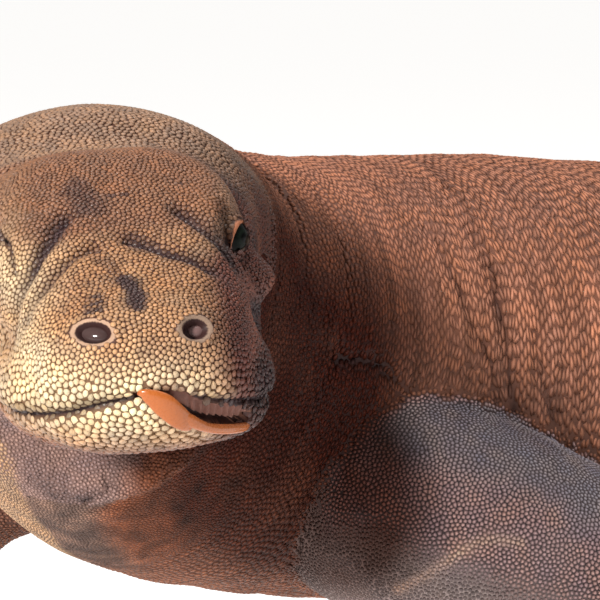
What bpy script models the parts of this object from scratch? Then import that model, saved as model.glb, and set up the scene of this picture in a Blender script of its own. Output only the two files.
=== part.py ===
"""Komodo dragon, still life-size model: the flesh, eyes, tongue and claws as plain closed solids.

Metres, +Z up, the floor at z = 0. The trunk faces -Y, its left flank faces +X, and the head is turned
to the left. The body is one tube of superelliptic sections carried along the spine from the snout
(s = 0) to the tail tip; the legs are round tubes, and all of them are parted by thin plane cuts.
"""

import math

import bmesh
import bpy
import numpy as np
from mathutils import Matrix, Vector

# ---------------------------------------------------------------- driving dimensions
GAP = 0.0003  # between two pieces that meet
HEAD_LENGTH = 0.215  # snout to the back of the jaw
SNOUT_ROUNDING = 0.030  # length of the rounded front of the muzzle
HEAD_ROLL = 3.3  # degrees, left side up
EYE_RADIUS = 0.0115
EYE_AT = (0.106, 0.0465, 0.031)  # back from the snout, to the side, above the lips
CLAW_LENGTH = 0.034
TOE_FAN = 46.0  # degrees between the middle toe and an outer one
LEG_RINGS = 11

# Turn of the spine to the animal's left, in degrees, at distances from the snout
HEADING = (
    (0.00, 70.0), (0.20, 70.0), (0.27, 60.0), (0.36, 36.0), (0.46, 12.0), (0.56, 2.0), (0.80, 0.0),
    (1.10, -6.0), (1.38, -11.0), (1.65, -12.0), (1.95, -2.0), (2.25, 16.0), (2.72, 34.0),
)
# Distance from the snout, height of the spine axis, half width, height over the axis, depth under it
STATIONS = (
    (0.000, 0.3000, 0.034, 0.030, 0.030),
    (0.030, 0.3073, 0.0465, 0.034, 0.038),
    (0.060, 0.3145, 0.0575, 0.042, 0.047),
    (0.100, 0.3242, 0.0640, 0.056, 0.058),
    (0.140, 0.3339, 0.0700, 0.062, 0.068),
    (0.165, 0.3400, 0.0735, 0.057, 0.074),
    (0.190, 0.3458, 0.0770, 0.047, 0.081),
    (0.215, 0.3510, 0.0800, 0.042, 0.090),
    (0.250, 0.3530, 0.085, 0.054, 0.110),
    (0.310, 0.3380, 0.092, 0.071, 0.1365),
    (0.380, 0.3020, 0.099, 0.089, 0.1365),
    (0.460, 0.2760, 0.110, 0.1005, 0.1335),
    (0.550, 0.2620, 0.124, 0.1095, 0.132),
    (0.620, 0.2588, 0.1325, 0.1105, 0.1328),
    (0.700, 0.2560, 0.140, 0.1065, 0.134),
    (0.900, 0.2520, 0.154, 0.107, 0.134),
    (1.100, 0.2520, 0.146, 0.110, 0.126),
    (1.250, 0.2540, 0.120, 0.106, 0.108),
    (1.380, 0.2520, 0.092, 0.094, 0.086),
    (1.500, 0.2320, 0.067, 0.079, 0.071),
    (1.700, 0.1780, 0.050, 0.064, 0.058),
    (1.950, 0.1040, 0.038, 0.050, 0.046),
    (2.200, 0.0450, 0.029, 0.038, 0.037),
    (2.450, 0.0230, 0.019, 0.026, 0.0245),
    (2.650, 0.0120, 0.010, 0.013, 0.0135),
    (2.720, 0.0070, 0.005, 0.006, 0.0080),
)
SECTION_POWER = ((0.00, 2.2), (0.10, 2.6), (0.20, 2.6), (0.245, 1.9), (0.34, 2.05), (0.9, 2.15), (1.5, 2.0),
                 (2.72, 2.0))
# The same power for the half under the axis
LOW_POWER = ((0.00, 2.3), (0.03, 3.1), (0.06, 3.6), (0.10, 3.3), (0.16, 2.8), (0.24, 2.4), (0.34, 2.1), (0.9, 2.15),
             (1.5, 2.0), (2.72, 2.0))
# Height of the lip line over the axis, at distances from the snout
LIP_LINE = (
    (0.000, 0.000), (0.006, -0.005), (0.015, -0.011), (0.031, -0.017), (0.060, -0.024), (0.100, -0.030),
    (0.140, -0.026), (0.180, -0.018), (0.215, -0.012),
)
# Round the front of the muzzle from MOUTH_CENTRE, in degrees to the left, with sizes in millimetres:
# the open stretch of the mouth: degrees, height of its middle over the axis, half its height
MOUTH_CENTRE = 0.035
MOUTH_GAP = (
    (-14, 0.2, 1.0), (-7, 0.4, 1.8), (0, 0.2, 2.6), (8, -1.6, 3.8), (23, -7.0, 6.2), (34, -12.0, 6.0), (47, -16.2, 5.8),
    (58, -18.6, 5.9), (76, -22.6, 5.0), (86, -22.5, 2.2),
)
# the tongue and its tine: degrees, height, distance out from the lip, half width, half thickness
TONGUE = (
    (-11, 1.0, 0.4, 0.7, 0.6), (-8, 1.7, 2.0, 2.0, 1.3), (-1, 0.0, 3.2, 3.9, 1.8), (7, -4.0, 3.8, 5.2, 2.1),
    (14, -9.0, 4.0, 5.0, 2.1), (21, -13.5, 3.9, 4.1, 2.0), (26.5, -17.0, 3.6, 2.2, 1.5),
)
TINE = (
    (10, -6.0, 3.3, 2.8, 1.5), (24, -12.8, 3.8, 2.8, 1.8), (32, -16.5, 4.0, 2.4, 1.8), (42, -20.0, 4.0, 2.2, 1.8),
    (53, -22.8, 4.0, 2.25, 1.8), (67, -26.0, 4.4, 2.2, 1.7), (80, -29.0, 5.6, 2.0, 1.6), (88, -30.8, 6.6, 1.2, 1.1),
)

# Where the body is parted, from the back of the head to the tail tip
BODY_CUTS = (
    ("neck", HEAD_LENGTH, 0.47, 6, 24),
    ("chest", 0.47, 0.82, 6, 24),
    ("belly", 0.82, 1.16, 5, 24),
    ("hips", 1.16, 1.42, 5, 24),
    ("tail_base", 1.42, 1.74, 5, 18),
    ("tail_middle", 1.74, 2.10, 5, 14),
    ("tail_rear", 2.10, 2.44, 6, 12),
    ("tail_tip", 2.44, 2.72, 6, 12),
)

# name: (girdle's distance from the snout, side, joints as (forward, out, height, radius) from the
# girdle, share of the tube in the upper piece, foot's turn outward, toe lengths)
FORE_TOES = (0.052, 0.066, 0.070, 0.064, 0.050)
HIND_TOES = (0.048, 0.066, 0.082, 0.092, 0.058)
LEGS = {
    "fore_left": (0.57, 1, ((0.055, 0.034, 0.203, 0.063), (0.062, 0.105, 0.196, 0.065),
                            (-0.06, 0.175, 0.131, 0.055), (-0.150, 0.228, 0.088, 0.042),
                            (-0.110, 0.250, 0.078, 0.038), (-0.050, 0.242, 0.062, 0.031)),
                  0.58, 22.0, FORE_TOES),
    "fore_right": (0.57, -1, ((0.00, 0.030, 0.196, 0.060), (0.04, 0.110, 0.197, 0.056),
                              (0.11, 0.180, 0.199, 0.0445), (0.165, 0.228, 0.172, 0.040),
                              (0.190, 0.228, 0.112, 0.039), (0.215, 0.222, 0.068, 0.031)),
                   0.58, 8.0, FORE_TOES),
    "hind_left": (1.30, 1, ((-0.02, 0.020, 0.200, 0.074), (0.02, 0.105, 0.200, 0.075),
                            (0.11, 0.180, 0.198, 0.063), (0.165, 0.232, 0.168, 0.045),
                            (0.120, 0.244, 0.108, 0.041), (0.060, 0.238, 0.070, 0.032)),
                  0.58, 24.0, HIND_TOES),
    "hind_right": (1.30, -1, ((0.01, 0.020, 0.200, 0.074), (0.01, 0.105, 0.200, 0.075),
                              (0.05, 0.185, 0.196, 0.061), (0.060, 0.240, 0.165, 0.046),
                              (-0.020, 0.244, 0.112, 0.042), (-0.095, 0.240, 0.072, 0.032)),
                   0.58, 34.0, HIND_TOES),
}
LEG_PIECES = {"fore": ("upper_arm", "forearm", "hand"), "hind": ("thigh", "shank", "foot")}

# colour, roughness
MATERIALS = {
    "head_skin": ((0.56, 0.43, 0.26), 0.45),
    "body_skin": ((0.36, 0.22, 0.15), 0.50),
    "leg_skin": ((0.33, 0.27, 0.27), 0.50),
    "tail_skin": ((0.32, 0.24, 0.18), 0.50),
    "tongue_flesh": ((0.72, 0.27, 0.09), 0.40),
    "eyeball": ((0.08, 0.04, 0.02), 0.08),
    "claw_horn": ((0.10, 0.08, 0.07), 0.35),
}


# ---------------------------------------------------------------- curves
def smooth_curve(x, points, column=1):
    """Cubic through the table's points whose slope is limited, so that it never overshoots."""
    table = np.array(points, dtype=float)
    xs = table[:, 0]
    ys = table[:, column]
    step = np.diff(xs)
    rise = np.diff(ys) / step
    slope = np.zeros_like(ys)
    slope[1:-1] = np.where(
        rise[:-1] * rise[1:] > 0,
        2 * rise[:-1] * rise[1:] / np.where(rise[:-1] + rise[1:] == 0, 1, rise[:-1] + rise[1:]),
        0.0,
    )
    slope[0] = rise[0]
    slope[-1] = rise[-1]
    x = np.asarray(x, dtype=float)
    i = np.clip(np.searchsorted(xs, x) - 1, 0, len(step) - 1)
    t = np.clip((x - xs[i]) / step[i], 0, 1)
    return (
        ys[i] * (1 + 2 * t) * (1 - t) ** 2
        + slope[i] * step[i] * t * (1 - t) ** 2
        + ys[i + 1] * t * t * (3 - 2 * t)
        + slope[i + 1] * step[i] * t * t * (t - 1)
    )


class Spine:
    """The spine axis: its height is the stations', its plan comes from the heading, and its length is s."""

    def __init__(self):
        self.s = np.linspace(0, STATIONS[-1][0], 1361)
        height = smooth_curve(self.s, STATIONS, 1)
        climb = np.gradient(height, self.s)
        level = np.sqrt(1 - climb**2)
        turn = np.radians(smooth_curve(self.s, HEADING))
        step = self.s[1] - self.s[0]
        across = np.cumsum(-np.sin(turn) * level) * step
        along = np.cumsum(np.cos(turn) * level) * step
        self.points = np.stack([across, along, height], axis=1)
        self.points[:, :2] -= self.at(0.57)[0][:2]

    def column(self, s, values):
        return np.stack([np.interp(s, self.s, values[:, k]) for k in range(3)], axis=-1)

    def at(self, s):
        """Point, backward direction, left and up at the distances s."""
        s = np.atleast_1d(np.asarray(s, dtype=float))
        point = self.column(s, self.points)
        back = self.column(s, np.gradient(self.points, self.s, axis=0))
        back /= np.linalg.norm(back, axis=1, keepdims=True)
        left = np.cross(back, (0.0, 0.0, 1.0))
        left /= np.linalg.norm(left, axis=1, keepdims=True)
        up = np.cross(left, back)
        roll = np.radians(HEAD_ROLL) * np.clip((0.42 - s) / 0.20, 0, 1)[:, None]
        rolled_left = left * np.cos(roll) + up * np.sin(roll)
        rolled_up = up * np.cos(roll) - left * np.sin(roll)
        return point[0] if len(s) == 1 else point, back, rolled_left, rolled_up


def section_size(s):
    """Half width, height over the axis, depth under it and both powers of the superellipse at s."""
    front = np.clip(1 - s / SNOUT_ROUNDING, 0, 1)
    rounding = np.maximum(1 - front**2.3, 0) ** (1 / 2.3)
    width, over, under = (smooth_curve(s, STATIONS, k) * rounding for k in (2, 3, 4))
    return width, over, under, smooth_curve(s, SECTION_POWER), smooth_curve(s, LOW_POWER)


def section(spine, s, angles, grow=0.0):
    """Ring of points at s: the angles run from the left over the back to the right and the belly."""
    point, _, left, up = spine.at(s)
    width, over, under, high_power, low_power = section_size(s)
    c = np.cos(angles)
    n = np.sin(angles)
    power = np.where(n > 0, high_power, low_power)
    sideways = (width + grow) * np.sign(c) * np.abs(c) ** (2 / power)
    upright = np.where(n > 0, over + grow, under + grow) * np.sign(n) * np.abs(n) ** (2 / power)
    ring = point + sideways[:, None] * left + upright[:, None] * up
    ring[:, 2] = np.maximum(ring[:, 2], 0.0)
    return ring


def full_turn(count):
    return (np.arange(count) + 0.5) * 2 * math.pi / count


# ---------------------------------------------------------------- meshes
def material(name):
    colour, roughness = MATERIALS[name]
    made = bpy.data.materials.get(name)
    if made is None:
        made = bpy.data.materials.new(name)
        made.use_nodes = True
        shader = made.node_tree.nodes["Principled BSDF"]
        shader.inputs["Base Color"].default_value = (*colour, 1.0)
        shader.inputs["Roughness"].default_value = roughness
    return made


def add_object(name, bm, slot):
    mesh = bpy.data.meshes.new(name)
    bmesh.ops.recalc_face_normals(bm, faces=bm.faces)
    bm.to_mesh(mesh)
    bm.free()
    mesh.shade_smooth()
    mesh.set_sharp_from_angle(angle=math.radians(50))
    mesh.materials.append(material(slot))
    made = bpy.data.objects.new(name, mesh)
    bpy.context.collection.objects.link(made)
    return made


def loft(name, rings, slot, first_point=None, last_point=None):
    """Closed tube through the rings, ending flat, or in a point where one is given.

    Each quad is split along the same diagonal, so that a larger copy runs beside every facet.
    """
    bm = bmesh.new()
    rows = [[bm.verts.new(Vector(p)) for p in ring] for ring in rings]
    for row, following in zip(rows, rows[1:]):
        for k in range(len(row)):
            nxt = (k + 1) % len(row)
            bm.faces.new((row[k], row[nxt], following[nxt]))
            bm.faces.new((row[k], following[nxt], following[k]))
    for row, point in ((rows[0], first_point), (rows[-1], last_point)):
        if point is None:
            bm.faces.new(row)
            continue
        tip = bm.verts.new(Vector(point))
        for k in range(len(row)):
            bm.faces.new((row[k], row[(k + 1) % len(row)], tip))
    return add_object(name, bm, slot)


def apply_boolean(target, tool, operation):
    """Unite the target with the tool, or cut the tool from it, and remove the tool."""
    modifier = target.modifiers.new(operation.title(), "BOOLEAN")
    modifier.operation = operation
    modifier.object = tool
    modifier.solver = "EXACT"
    evaluated = target.evaluated_get(bpy.context.evaluated_depsgraph_get())
    mesh = bpy.data.meshes.new_from_object(evaluated)
    target.modifiers.remove(modifier)
    target.data = mesh
    bpy.data.objects.remove(tool)


def ball(name, centre, radius, slot, segments=12, rings=8):
    bm = bmesh.new()
    bmesh.ops.create_uvsphere(bm, u_segments=segments, v_segments=rings, radius=radius)
    bmesh.ops.translate(bm, verts=bm.verts, vec=Vector(centre))
    return add_object(name, bm, slot)


def floor_block():
    """What is cut away so that a foot stands on a flat sole."""
    bm = bmesh.new()
    bmesh.ops.create_cube(bm, size=1.0)
    bmesh.ops.scale(bm, verts=bm.verts, vec=Vector((4.0, 6.0, 0.2)))
    bmesh.ops.translate(bm, verts=bm.verts, vec=Vector((0.0, 0.0, -0.1)))
    return add_object("floor_block", bm, "body_skin")


# ---------------------------------------------------------------- head
def head_point(spine, back, side, height):
    """A place in the head: back from the snout, to the left, and over the axis of the lips."""
    point, _, left, up = spine.at(back)
    return point + side * left[0] + height * up[0]


def jaw_ring(spine, s, upper, count):
    """Half a section on one side of the lip line, closed by the straight cut between the lips."""
    _, over, under, _, power = section_size(s)
    rounding = over / max(smooth_curve(s, STATIONS, 3), 1e-9)
    lip = smooth_curve(s, LIP_LINE) * rounding
    gap = GAP / 2 if upper else -GAP / 2
    lip_angle = -math.asin(min(max(-lip / under, 0.0), 0.95) ** (power / 2))
    if upper:
        angles = np.linspace(lip_angle, math.pi - lip_angle, count)
    else:
        angles = np.linspace(math.pi - lip_angle, 2 * math.pi + lip_angle, count)
    ring = section(spine, s, angles)
    up = spine.at(s)[3]
    return ring + gap * up


def build_head(spine):
    places = (0.0006, 0.003, 0.008, 0.015, 0.024, 0.036, 0.052, 0.070, 0.088, 0.106, 0.126, 0.15, 0.18,
              HEAD_LENGTH - GAP / 2)
    tip, _, _, up = spine.at(0.0)
    upper = [jaw_ring(spine, s, True, 17) for s in places]
    lower = [jaw_ring(spine, s, False, 13) for s in places]
    head = loft("head", upper, "head_skin", first_point=tip + GAP / 2 * up[0])
    jaw = loft("lower_jaw", lower, "head_skin", first_point=tip - GAP / 2 * up[0])
    for side, name in ((1, "eye_left"), (-1, "eye_right")):
        back, out, height = EYE_AT
        centre = head_point(spine, back, side * out, height)
        apply_boolean(head, ball("socket", centre, EYE_RADIUS + GAP, "head_skin"), "DIFFERENCE")
        ball(name, centre, EYE_RADIUS, "eyeball")
    apply_boolean(head, mouth_gap(spine), "DIFFERENCE")
    apply_boolean(jaw, mouth_gap(spine), "DIFFERENCE")


def lip_place(spine, degrees, height, out):
    """Point at a distance out from the muzzle, on the level ray from MOUTH_CENTRE, and the ray.

    The ray's length is halved down to where the superellipse of its section reaches 1.
    """
    turn = math.radians(degrees)
    near = 0.0
    far = 0.09
    for _ in range(30):
        reach = (near + far) / 2
        s = MOUTH_CENTRE - reach * math.cos(turn)
        if s <= 0:
            far = reach
            continue
        width, over, under, high_power, low_power = section_size(s)
        tall = over if height > 0 else under
        power = high_power if height > 0 else low_power
        value = abs(reach * math.sin(turn) / width) ** power + abs(height / tall) ** power
        if value > 1:
            far = reach
        else:
            near = reach
    reach = near + out
    centre, back, left, up = (v[0] if v.ndim > 1 else v for v in spine.at(MOUTH_CENTRE))
    ray = left * math.sin(turn) - back * math.cos(turn)
    return centre + reach * ray + height * up, ray


def ribbon(spine, name, table, slot, count=10):
    """Tube with an oval section along the lips: thin along the rays, tall square to them."""
    millimetre = 0.001
    dense = np.linspace(table[0][0], table[-1][0], count)
    columns = [smooth_curve(dense, table, k) * millimetre for k in range(1, 5)]
    places = [lip_place(spine, a, h, o) for a, h, o in zip(dense, columns[0], columns[1])]
    centres = np.array([point for point, _ in places])
    rays = np.array([ray for _, ray in places])
    along = np.gradient(centres, axis=0)
    along /= np.linalg.norm(along, axis=1, keepdims=True)
    tall = np.cross(along, rays)
    tall /= np.linalg.norm(tall, axis=1, keepdims=True)
    angles = full_turn(10)
    rings = [
        centre + wide * np.cos(angles)[:, None] * up + thick * np.sin(angles)[:, None] * ray
        for centre, up, ray, wide, thick in zip(centres, tall, rays, columns[2], columns[3])
    ]
    return loft(name, rings, slot)


def mouth_gap(spine):
    """What is cut from the head and the jaw where the lips part."""
    table = [(a, h, -4.0, tall, 10.0) for a, h, tall in MOUTH_GAP]
    return ribbon(spine, "mouth_gap", table, "head_skin", count=9)


def build_tongue(spine):
    tongue = ribbon(spine, "tongue", TONGUE, "tongue_flesh")
    apply_boolean(tongue, ribbon(spine, "tine", TINE, "tongue_flesh"), "UNION")


def tube_frames(points, easing=0, upright=False):
    """Side and up directions square to a path, carried along it without twist.

    Each round of easing spreads a bend over its neighbours, so that the rings of a thick tube
    don't cross on the inner side of a joint. Upright rings stand square to the floor.
    """
    along = np.gradient(points, axis=0)
    for _ in range(easing):
        ends = np.concatenate([along[:1], along, along[-1:]])
        along = (ends[:-2] + 2 * ends[1:-1] + ends[2:]) / 4
    if upright:
        along[:, 2] = 0.0
    along /= np.linalg.norm(along, axis=1, keepdims=True)
    side = np.zeros_like(along)
    carried = np.cross(along[0], (0.0, 0.0, 1.0))
    for k, direction in enumerate(along):
        carried = carried - (carried @ direction) * direction
        carried /= np.linalg.norm(carried)
        side[k] = carried
    return side, np.cross(side, along)


def tube_rings(points, radii, count, easing=0, upright=False):
    side, up = tube_frames(points, easing, upright)
    angles = full_turn(count)
    turn_side = np.cos(angles)[None, :, None] * side[:, None, :]
    turn_up = np.sin(angles)[None, :, None] * up[:, None, :]
    return points[:, None, :] + radii[:, None, None] * (turn_side + turn_up)


# ---------------------------------------------------------------- legs
def leg_tube(spine, name):
    """Points, radii and girdle directions of a leg's tube, from inside the trunk to the ankle."""
    girdle, side, joints, _, _, _ = LEGS[name]
    origin, back, left, _ = spine.at(girdle)
    forward = -back[0] * np.array((1.0, 1.0, 0.0))
    forward /= np.linalg.norm(forward)
    out = side * np.array((-forward[1], forward[0], 0.0))
    table = np.array(joints)
    places = table[:, :1] * forward + table[:, 1:2] * out
    places[:, :2] += origin[:2]
    places[:, 2] = table[:, 2]
    route = np.column_stack([places, table[:, 3]])
    for _ in range(3):
        near = 0.75 * route[:-1] + 0.25 * route[1:]
        far = 0.25 * route[:-1] + 0.75 * route[1:]
        cut_corners = np.stack([near, far], axis=1).reshape(-1, 4)
        route = np.concatenate([route[:1], cut_corners, route[-1:]])
    run = np.concatenate([[0.0], np.cumsum(np.linalg.norm(np.diff(route[:, :3], axis=0), axis=1))])
    even = np.linspace(0, run[-1], LEG_RINGS)
    resampled = np.stack([np.interp(even, run, route[:, k]) for k in range(4)], axis=1)
    return resampled[:, :3], resampled[:, 3], forward, out


def build_leg(spine, name, trunk_tool):
    _, side, _, share, toe_out, toes = LEGS[name]
    points, radii, forward, out = leg_tube(spine, name)
    kind, side_name = name.split("_")
    upper_name, lower_name, foot_name = LEG_PIECES[kind]
    rings = tube_rings(points, radii, 14, easing=4)
    joint = round(share * (len(points) - 1))
    along = points[joint + 1] - points[joint - 1]
    along /= np.linalg.norm(along)
    upper = loft(f"{upper_name}_{side_name}", list(rings[: joint + 1]), "leg_skin")
    apply_boolean(upper, trunk_tool, "DIFFERENCE")
    lower = [rings[joint] + GAP * along, *rings[joint + 1:]]
    loft(f"{lower_name}_{side_name}", lower, "leg_skin")
    angle = math.radians(toe_out)
    heading = forward * math.cos(angle) + out * math.sin(angle)
    build_foot(f"{foot_name}_{side_name}", points, rings[-1], heading, side, toes)


# Palm: place along the foot from the ankle, half width, half height, height of its middle
PALM = (
    (-0.028, 0.018, 0.014, 0.013), (-0.016, 0.029, 0.019, 0.016), (0.004, 0.036, 0.022, 0.016),
    (0.026, 0.042, 0.022, 0.014), (0.046, 0.044, 0.017, 0.010), (0.060, 0.038, 0.012, 0.008),
)


def build_foot(name, leg_points, ankle_ring, heading, side, toes):
    """Palm under the ankle, five toes fanned out, and their claws, on a flat sole."""
    outward = side * np.array((-heading[1], heading[0], 0.0))
    ankle = leg_points[-1]
    along = ankle - leg_points[-2]
    along /= np.linalg.norm(along)
    floor_point = np.array((ankle[0], ankle[1], 0.0)) + 0.03 * along * (1, 1, 0)
    angles = full_turn(14)
    across = np.cos(angles)[:, None] * outward
    upright = np.sin(angles)[:, None] * np.array((0.0, 0.0, 1.0))
    rings = [
        floor_point + place * heading + (0, 0, middle) + wide * across + high * upright
        for place, wide, high, middle in PALM
    ]
    foot = loft(name, rings, "leg_skin")
    stub = [ankle_ring + GAP * along, ankle_ring + 0.02 * along, ankle_ring * 0.8 + ankle * 0.2 + 0.042 * along]
    apply_boolean(foot, loft("stub", stub, "leg_skin"), "UNION")
    for number, length in enumerate(toes, start=1):
        place = (number - 3) / 2
        turn = math.radians(TOE_FAN) * place
        toe_along = heading * math.cos(turn) + outward * math.sin(turn)
        root = floor_point + 0.040 * heading + 0.037 * place * outward
        t = np.linspace(0, 1, 4)
        path = root + (t * (length + 0.018))[:, None] * toe_along
        path[:, 2] = 0.0090 + 0.004 * np.sin(math.pi * t) - 0.0005 * t
        radius = 0.0100 - 0.0012 * t
        toe = loft("toe", list(tube_rings(path, radius, 7, upright=True)), "leg_skin")
        apply_boolean(foot, toe, "UNION")
        build_claw(f"claw_{name}_{number}", path[-1] + GAP * toe_along, toe_along)
    apply_boolean(foot, floor_block(), "DIFFERENCE")


def build_claw(name, root, along):
    """Curved cone: it leaves the toe level, bends down and stops just over the floor."""
    t = np.linspace(0, 0.88, 4)
    path = root + (CLAW_LENGTH * t)[:, None] * along
    path[:, 2] += 0.004 * np.sin(math.pi * t * 0.9) - 0.007 * t**2
    radius = 0.0064 * (1 - t) ** 0.8
    tip = root + CLAW_LENGTH * along - np.array((0, 0, 0.0075))
    loft(name, list(tube_rings(path, radius, 6, upright=True)), "claw_horn", last_point=tip)


# ---------------------------------------------------------------- whole animal
def cut_places(start, end, count):
    last = end == STATIONS[-1][0]
    return np.linspace(start + GAP / 2, end - (0 if last else GAP / 2), count + 1)


def build_body(spine):
    for name, start, end, count, around in BODY_CUTS:
        rings = [section(spine, s, full_turn(around)) for s in cut_places(start, end, count)]
        slot = "tail_skin" if name.startswith("tail") else "body_skin"
        tail_tip = None
        if end == STATIONS[-1][0]:
            point, back, _, _ = spine.at(end)
            tail_tip = point + 0.004 * back[0]
        loft(name, rings, slot, last_point=tail_tip)


def trunk_tool(spine):
    """The trunk with the same facets, larger by the gap: what is cut from the legs' roots."""
    rings = []
    for _, start, end, count, around in BODY_CUTS[:4]:
        rings += [section(spine, s, full_turn(around), 1.5 * GAP) for s in cut_places(start, end, count)]
    return loft("trunk_tool", rings, "body_skin")


def stand_on_origin():
    """Moves all pieces so that the middle of the model's box is over the origin."""
    corners = np.array([v.co[:] for piece in bpy.data.objects for v in piece.data.vertices])
    middle = (corners.min(axis=0) + corners.max(axis=0)) / 2
    for piece in bpy.data.objects:
        piece.data.transform(Matrix.Translation((-middle[0], -middle[1], 0.0)))


def main():
    for old in list(bpy.data.objects):
        bpy.data.objects.remove(old)
    spine = Spine()
    build_head(spine)
    build_tongue(spine)
    build_body(spine)
    for name in LEGS:
        build_leg(spine, name, trunk_tool(spine))
    stand_on_origin()


main()
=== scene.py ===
"""Skin, scales, eyes, tongue and claws of the still komodo dragon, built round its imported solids."""

import math

import bmesh
import bpy
import numpy as np
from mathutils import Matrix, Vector
from mathutils.bvhtree import BVHTree
from mathutils.kdtree import KDTree


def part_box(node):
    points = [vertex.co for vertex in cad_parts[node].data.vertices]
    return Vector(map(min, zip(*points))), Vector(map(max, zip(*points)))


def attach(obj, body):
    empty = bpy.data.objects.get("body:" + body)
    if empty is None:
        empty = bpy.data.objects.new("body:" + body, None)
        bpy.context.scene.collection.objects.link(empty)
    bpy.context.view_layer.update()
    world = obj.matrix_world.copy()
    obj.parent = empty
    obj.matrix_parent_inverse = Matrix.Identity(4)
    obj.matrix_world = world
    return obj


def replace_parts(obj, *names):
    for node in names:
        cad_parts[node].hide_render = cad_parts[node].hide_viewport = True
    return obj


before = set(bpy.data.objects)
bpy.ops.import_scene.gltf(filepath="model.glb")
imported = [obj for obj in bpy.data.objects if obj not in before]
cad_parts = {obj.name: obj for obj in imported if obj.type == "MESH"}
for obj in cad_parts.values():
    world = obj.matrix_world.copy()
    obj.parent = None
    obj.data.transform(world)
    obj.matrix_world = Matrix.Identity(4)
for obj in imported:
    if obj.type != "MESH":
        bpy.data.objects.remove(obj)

bl_info = {
    "name": "Komodo dragon",
    "version": (1, 0, 0),
    "blender": (4, 5, 0),
    "location": "3D View > Sidebar > Komodo",
    "description": "Scaled skin, eyes, tongue and claws of a life-size komodo dragon",
    "category": "Object",
}

# ---------------------------------------------------------------- the solids' plan, in metres
# Distances along the spine run back from the snout; angles are in degrees.
SNOUT_ROUNDING = 0.030
SNOUT_POWER = 2.3
HEAD_ROLL = 3.3
ROLL_FADES = (0.22, 0.42)  # the head's roll dies away between these distances
EYE_RADIUS = 0.0115
EYE_AT = (0.106, 0.0465, 0.031)
# Where the eyes' openings face, as forward, outward and upward shares, and their corners' slope in degrees
EYE_GAZE = {1: (0.64, 0.74, 0.18), -1: (-0.10, 0.97, 0.12)}
EYE_TILT = 32.0
CLAW_LENGTH = 0.034
TOE_FAN = 46.0
FOOT_AHEAD = 0.03  # from under the ankle's end to the middle of the foot
TOE_ROOT = 0.040  # from there to the toes' roots, and the outer roots' distance aside
TOE_SPREAD = 0.037
TOE_HEIGHT = 0.0090
TOE_ARCH = 0.004
TOE_RADIUS = 0.0100
TAIL_END = 2.72
BODY_START = 0.40  # where the body's rows of scales begin, behind the neck
# Distance, direction of the spine
HEADING = (
    (0.00, 70.0), (0.20, 70.0), (0.27, 60.0), (0.36, 36.0), (0.46, 12.0), (0.56, 2.0), (0.80, 0.0),
    (1.10, -6.0), (1.38, -11.0), (1.65, -12.0), (1.95, -2.0), (2.25, 16.0), (2.72, 34.0),
)
# Distance from the snout, height of the spine axis, half width, height over the axis, depth under it
STATIONS = (
    (0.000, 0.3000, 0.034, 0.030, 0.030),
    (0.030, 0.3073, 0.0465, 0.034, 0.038),
    (0.060, 0.3145, 0.0575, 0.042, 0.047),
    (0.100, 0.3242, 0.0640, 0.056, 0.058),
    (0.140, 0.3339, 0.0700, 0.062, 0.068),
    (0.165, 0.3400, 0.0735, 0.057, 0.074),
    (0.190, 0.3458, 0.0770, 0.047, 0.081),
    (0.215, 0.3510, 0.0800, 0.042, 0.090),
    (0.250, 0.3530, 0.085, 0.054, 0.110),
    (0.310, 0.3380, 0.092, 0.071, 0.1365),
    (0.380, 0.3020, 0.099, 0.089, 0.1365),
    (0.460, 0.2760, 0.110, 0.1005, 0.1335),
    (0.550, 0.2620, 0.124, 0.1095, 0.132),
    (0.620, 0.2588, 0.1325, 0.1105, 0.1328),
    (0.700, 0.2560, 0.140, 0.1065, 0.134),
    (0.900, 0.2520, 0.154, 0.107, 0.134),
    (1.100, 0.2520, 0.146, 0.110, 0.126),
    (1.250, 0.2540, 0.120, 0.106, 0.108),
    (1.380, 0.2520, 0.092, 0.094, 0.086),
    (1.500, 0.2320, 0.067, 0.079, 0.071),
    (1.700, 0.1780, 0.050, 0.064, 0.058),
    (1.950, 0.1040, 0.038, 0.050, 0.046),
    (2.200, 0.0450, 0.029, 0.038, 0.037),
    (2.450, 0.0230, 0.019, 0.026, 0.0245),
    (2.650, 0.0120, 0.010, 0.013, 0.0135),
    (2.720, 0.0070, 0.005, 0.006, 0.0080),
)
# Distance, power of the superellipse over the axis, and under it
SECTION_POWER = (
    (0.00, 2.2), (0.10, 2.6), (0.20, 2.6), (0.245, 1.9), (0.34, 2.05), (0.9, 2.15), (1.5, 2.0), (2.72, 2.0),
)
LOW_POWER = (
    (0.00, 2.3), (0.03, 3.1), (0.06, 3.6), (0.10, 3.3), (0.16, 2.8), (0.24, 2.4), (0.34, 2.1), (0.9, 2.15),
    (1.5, 2.0), (2.72, 2.0),
)
# Distance, height of the closed lips over the axis
LIP_LINE = (
    (0.000, 0.000), (0.006, -0.005), (0.015, -0.011), (0.031, -0.017), (0.060, -0.024), (0.100, -0.030),
    (0.140, -0.026), (0.180, -0.018), (0.215, -0.012),
)
MOUTH_CENTRE = 0.035  # the place on the axis that the mouth's and tongue's degrees turn round
# Degrees round the muzzle to the left, then in millimetres: height of the gap's middle, half its height
MOUTH_GAP = (
    (-14, 0.2, 1.0), (-7, 0.4, 1.8), (0, 0.2, 2.6), (8, -1.6, 3.8), (23, -7.0, 6.2), (34, -12.0, 6.0),
    (47, -16.2, 5.8), (58, -18.6, 5.9), (76, -22.6, 5.0), (86, -22.5, 2.2),
)
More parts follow.
